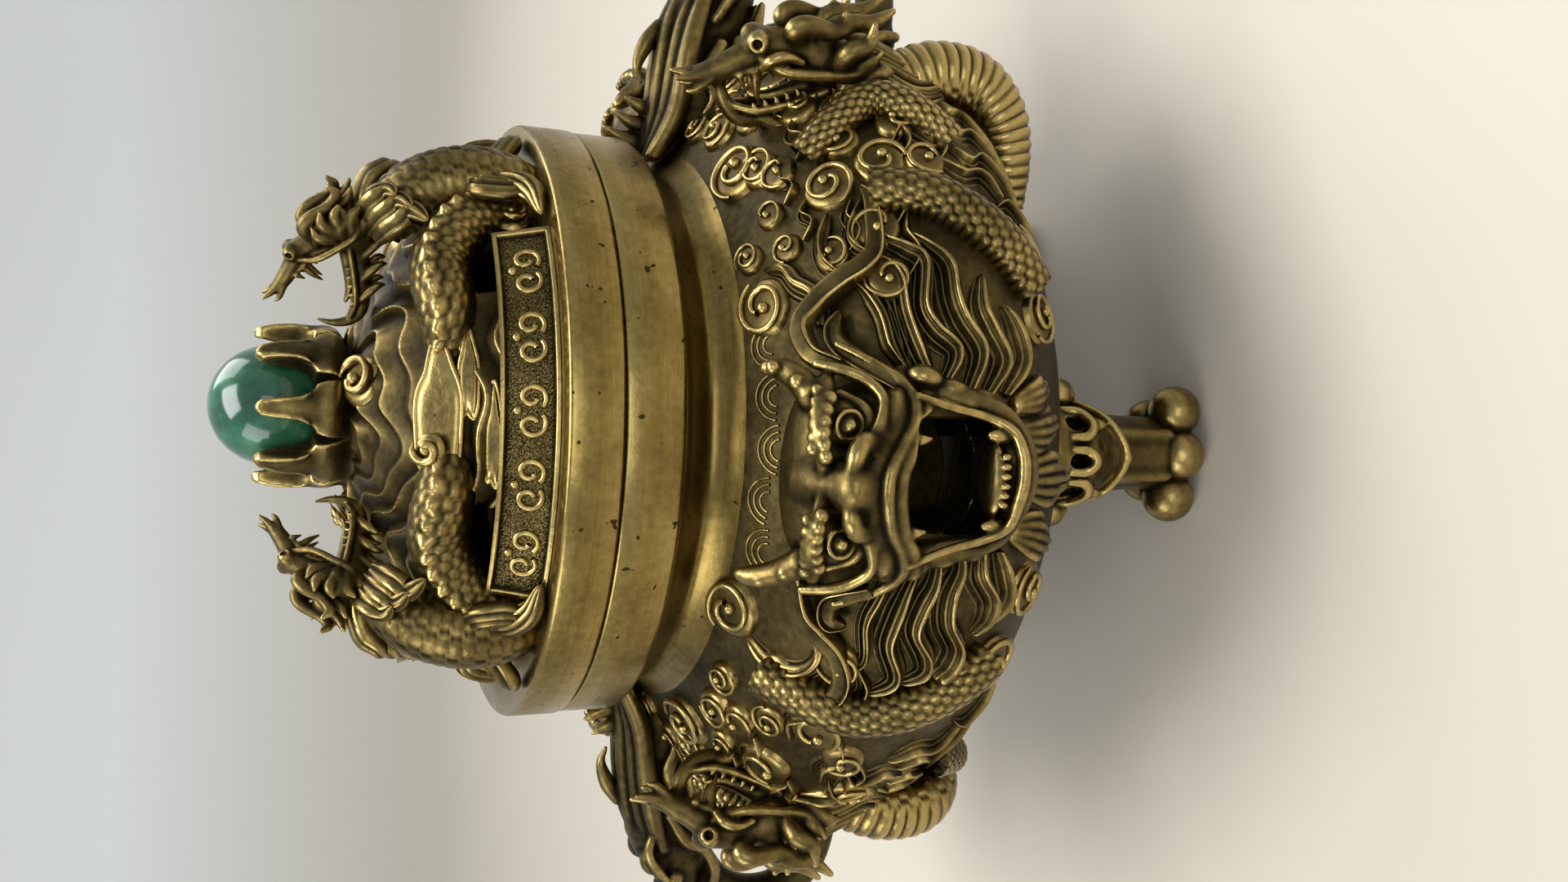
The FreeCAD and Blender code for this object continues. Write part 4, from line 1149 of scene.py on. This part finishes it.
def clouds_on_lid():
    parts = []
    for az in MASKS.values():
        parts += ruyi(az - 1, 233.5, 59.5, 20, 8.2)
        parts += ruyi(az + 8, 226, 63.5, 13, 3.4) + ruyi(az - 6, 220, 67, 15, 3.0)
        parts += ruyi(az + 3, 212.5, 70, 17, 3.0)
        parts += [curl(polar(64, az - 9, 235), polar(1, az - 9, 0.7), 4.2, 1, 0.9),
                  curl(polar(30, az + 18, 249), polar(1, az + 18, 1.4), 7.2, -1, 0.95),
                  curl(polar(76, az - 49, 214), polar(1, az - 49, 0.15), 7.0, 1, 1.2),
                  curl(polar(74, az + 47, 212), polar(1, az + 47, 0.2), 5.0, -1, 1.0)]
    return join(parts)


piece("lid_clouds", [lid_turned(clouds_on_lid())], CAST, "lid", replaces=["cloud_mound"])


# The plaque: a leaning band with a raised border and five cloud heads on a stippled ground
def on_plaque(u, v, h=0.0):
    """Points on the plaque: u along it from -1 to 1, v up it from 0 to 1, h off its face."""
    az = np.radians(u * 37.0)
    r = 81.6 - 4.4 * v + 0.957 * h
    return np.stack([np.sin(az) * r, -np.cos(az) * r, 205 + 14.5 * v + 0.29 * h], -1)


def cloud_head(u, v, size):
    """One cloud head of the plaque: two mirrored curls and a bead between them."""
    s = np.linspace(0, 1, 30)
    turn, r = math.radians(-135) + s * 2.1 * math.pi, 0.42 * (1 - 0.62 * s)
    parts = [bead(on_plaque(u, v + 0.24, 0.4), 1.25, 0.75)]
    for k in (-1, 1):
        uu, vv = u + size * k * (0.42 + r * np.cos(turn)), v + 0.6 * r * np.sin(turn)
        out = unit(on_plaque(uu, vv, 1) - on_plaque(uu, vv))
        parts.append(cord(on_plaque(uu, vv, 0.2), out, np.full(30, 0.8), 0.75, 8))
    return join(parts)


def plaque_parts():
    across, up = 420, 62
    us, vs = np.linspace(-1, 1, across)[:, None], np.linspace(0, 1, up)[None]
    rim = np.maximum(np.abs(us) - 0.972, np.abs(vs - 0.5) * 2 * 0.13 - 0.108)
    raised = np.clip(rim / 0.006 + 0.5, 0, 1)
    stipple = rng.random((across, up))
    h = 1.25 * raised + (1 - raised) * 0.28 * stipple
    face = on_plaque(us + 0 * vs, vs + 0 * us, h)
    shade = 0.3 + 0.35 * raised + 0.25 * stipple * (1 - raised)
    parts = [skin(face, shade, False)]
    back = on_plaque(us + 0 * vs, vs + 0 * us, -3.0)[::12, ::12]
    parts.append(skin(back, 0.2, False))
    for u, v in ((us[:, 0], 0.0), (us[:, 0], 1.0), (-1.0, vs[0]), (1.0, vs[0])):
        u, v = np.broadcast_arrays(u, v)
        strip = np.stack([on_plaque(u, v, 1.25), on_plaque(u, v, -3.0)], 1)
        parts.append(skin(strip, 0.6, False))
    parts += [cloud_head(u, 0.48, 0.16) for u in (-0.74, -0.37, 0, 0.37, 0.74)]
    return parts


piece("plaque_cast", [lid_turned(p) for p in plaque_parts()], CAST, "lid", replaces=["plaque"])


# The pearl
def green_stone():
    mat, tree, bsdf = nodes_of("green_stone")
    where = tree.nodes.new("ShaderNodeTexCoord").outputs["Object"]
    cloud = noise(tree, where, 70, 5.0, 0.6)
    greens = [(0.3, (0.004, 0.03, 0.016)), (0.47, (0.012, 0.075, 0.04)), (0.6, (0.03, 0.14, 0.075)),
              (0.78, (0.12, 0.3, 0.19))]
    gloss = ramp(tree, noise(tree, where, 240), [(0.3, grey(0.1)), (0.8, grey(0.2))])
    tree.links.new(ramp(tree, cloud, greens), bsdf.inputs["Base Color"])
    tree.links.new(gloss, bsdf.inputs["Roughness"])
    bsdf.inputs["Coat Weight"].default_value = 0.3
    bsdf.inputs["Coat Roughness"].default_value = 0.04
    bsdf.inputs["Subsurface Weight"].default_value = 0.15
    bsdf.inputs["Subsurface Radius"].default_value = (0.002, 0.006, 0.003)
    return mat


pearl = bead(PEARL, PEARL_R, 0.5, 96)
piece("pearl_stone", [pearl], green_stone(), "pearl", ["pearl"])


# Plain parts that keep their own shape
# The damper sleeve and ash dish get a much lighter brass than the cast parts: their olive brown, lightened as
# painted light to make up for the light that does not reach them in the hollow
LIGHTENED_INNER_BRASS = brass_patina_and_shade("inner_brass_painted_light",
                    [(0.1, (0.26, 0.225, 0.13)), (0.5, (0.42, 0.36, 0.21)), (0.9, (0.55, 0.47, 0.28))],
                    (0.6, 0.45), 0.5, 0.3, (0.05, 0.15))
for material, names in ((LIGHTENED_INNER_BRASS, ("damper_sleeve", "ash_dish")),
                        (SATIN, ("leg_screws", "dragon_screws", "handle_screws", "finial_stud",
                                 "finial_nut"))):
    for name in names:
        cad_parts[name].data.materials.clear()
        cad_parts[name].data.materials.append(material)


# Stage, lights and camera
def stage():
    """A round pale floor that curves up into a wall, warm below and cooler above."""
    flat, bend, wall = 1.5, 0.8, 1.9
    curve = [(flat + bend * math.sin(a), bend - bend * math.cos(a)) for a in np.linspace(0, math.pi / 2, 20)]
    v, f, _ = revolved([(0.001, 0), (flat * 0.5, 0)] + curve + [(flat + bend, wall)], 128)
    mesh = bpy.data.meshes.new("backdrop")
    mesh.from_pydata(v.tolist(), [], f.tolist())
    mesh.shade_smooth()
    paper, tree, bsdf = nodes_of("pale_paper")
    height = tree.nodes.new("ShaderNodeSeparateXYZ")
    tree.links.new(tree.nodes.new("ShaderNodeTexCoord").outputs["Object"], height.inputs[0])
    tint = ramp(tree, height.outputs["Z"], [(0.02, (0.56, 0.51, 0.43)), (0.45, (0.86, 0.885, 0.885))])
    tree.links.new(tint, bsdf.inputs["Base Color"])
    bsdf.inputs["Roughness"].default_value = 0.6
    mesh.materials.append(paper)
    obj = bpy.data.objects.new("backdrop", mesh)
    bpy.context.scene.collection.objects.link(obj)


def lamp(name, at, look, size, power):
    """A soft rectangular lamp that faces look."""
    data = bpy.data.lights.new(name, "AREA")
    data.shape = "RECTANGLE"
    data.size, data.size_y = size
    data.energy = power
    obj = bpy.data.objects.new(name, data)
    obj.location = at
    obj.rotation_euler = (Vector(look) - Vector(at)).to_track_quat("-Z", "Y").to_euler()
    bpy.context.scene.collection.objects.link(obj)


def camera():
    """A close camera, turned on its side, that looks down on the burner."""
    data = bpy.data.cameras.new("camera")
    data.lens, data.sensor_width = 30.0, 36.0
    data.clip_start = 0.01
    obj = bpy.data.objects.new("camera", data)
    pitch, roll, yaw = math.radians(23.34), math.radians(1.13), math.radians(-0.63)
    forward = Vector((math.sin(yaw) * math.cos(pitch), math.cos(yaw) * math.cos(pitch), -math.sin(pitch)))
    right = Vector((math.cos(yaw), -math.sin(yaw), 0))
    up = right.cross(forward)
    across = math.cos(roll) * right + math.sin(roll) * up
    upward = -math.sin(roll) * right + math.cos(roll) * up
    turn = Matrix((-upward, across, -forward)).transposed().to_4x4()
    place = Matrix.Translation((0, -0.408, 0.2843)) @ turn
    obj.matrix_world = Matrix.Rotation(math.radians(6.0), 4, "Z") @ place
    bpy.context.scene.collection.objects.link(obj)
    bpy.context.scene.camera = obj


stage()
lamp("overhead", (0.1, -0.15, 1.3), (0, 0, 0.1), (0.85, 0.6), 13.5)
lamp("side", (-1.0, -0.6, 0.8), (0, 0, 0.15), (0.7, 0.9), 7)
lamp("front", (0.1, -1.2, 0.5), (0, 0, 0.1), (0.8, 0.5), 2.6)
lamp("back", (0.6, 0.7, 1.0), (0, 0.3, 0.1), (1.0, 0.6), 7)
world = bpy.data.worlds.new("room")
world.use_nodes = True
world.node_tree.nodes["Background"].inputs["Color"].default_value = (0.74, 0.77, 0.8, 1)
world.node_tree.nodes["Background"].inputs["Strength"].default_value = 0.7
bpy.context.scene.world = world
camera()
bpy.context.scene.view_settings.view_transform = "Standard"
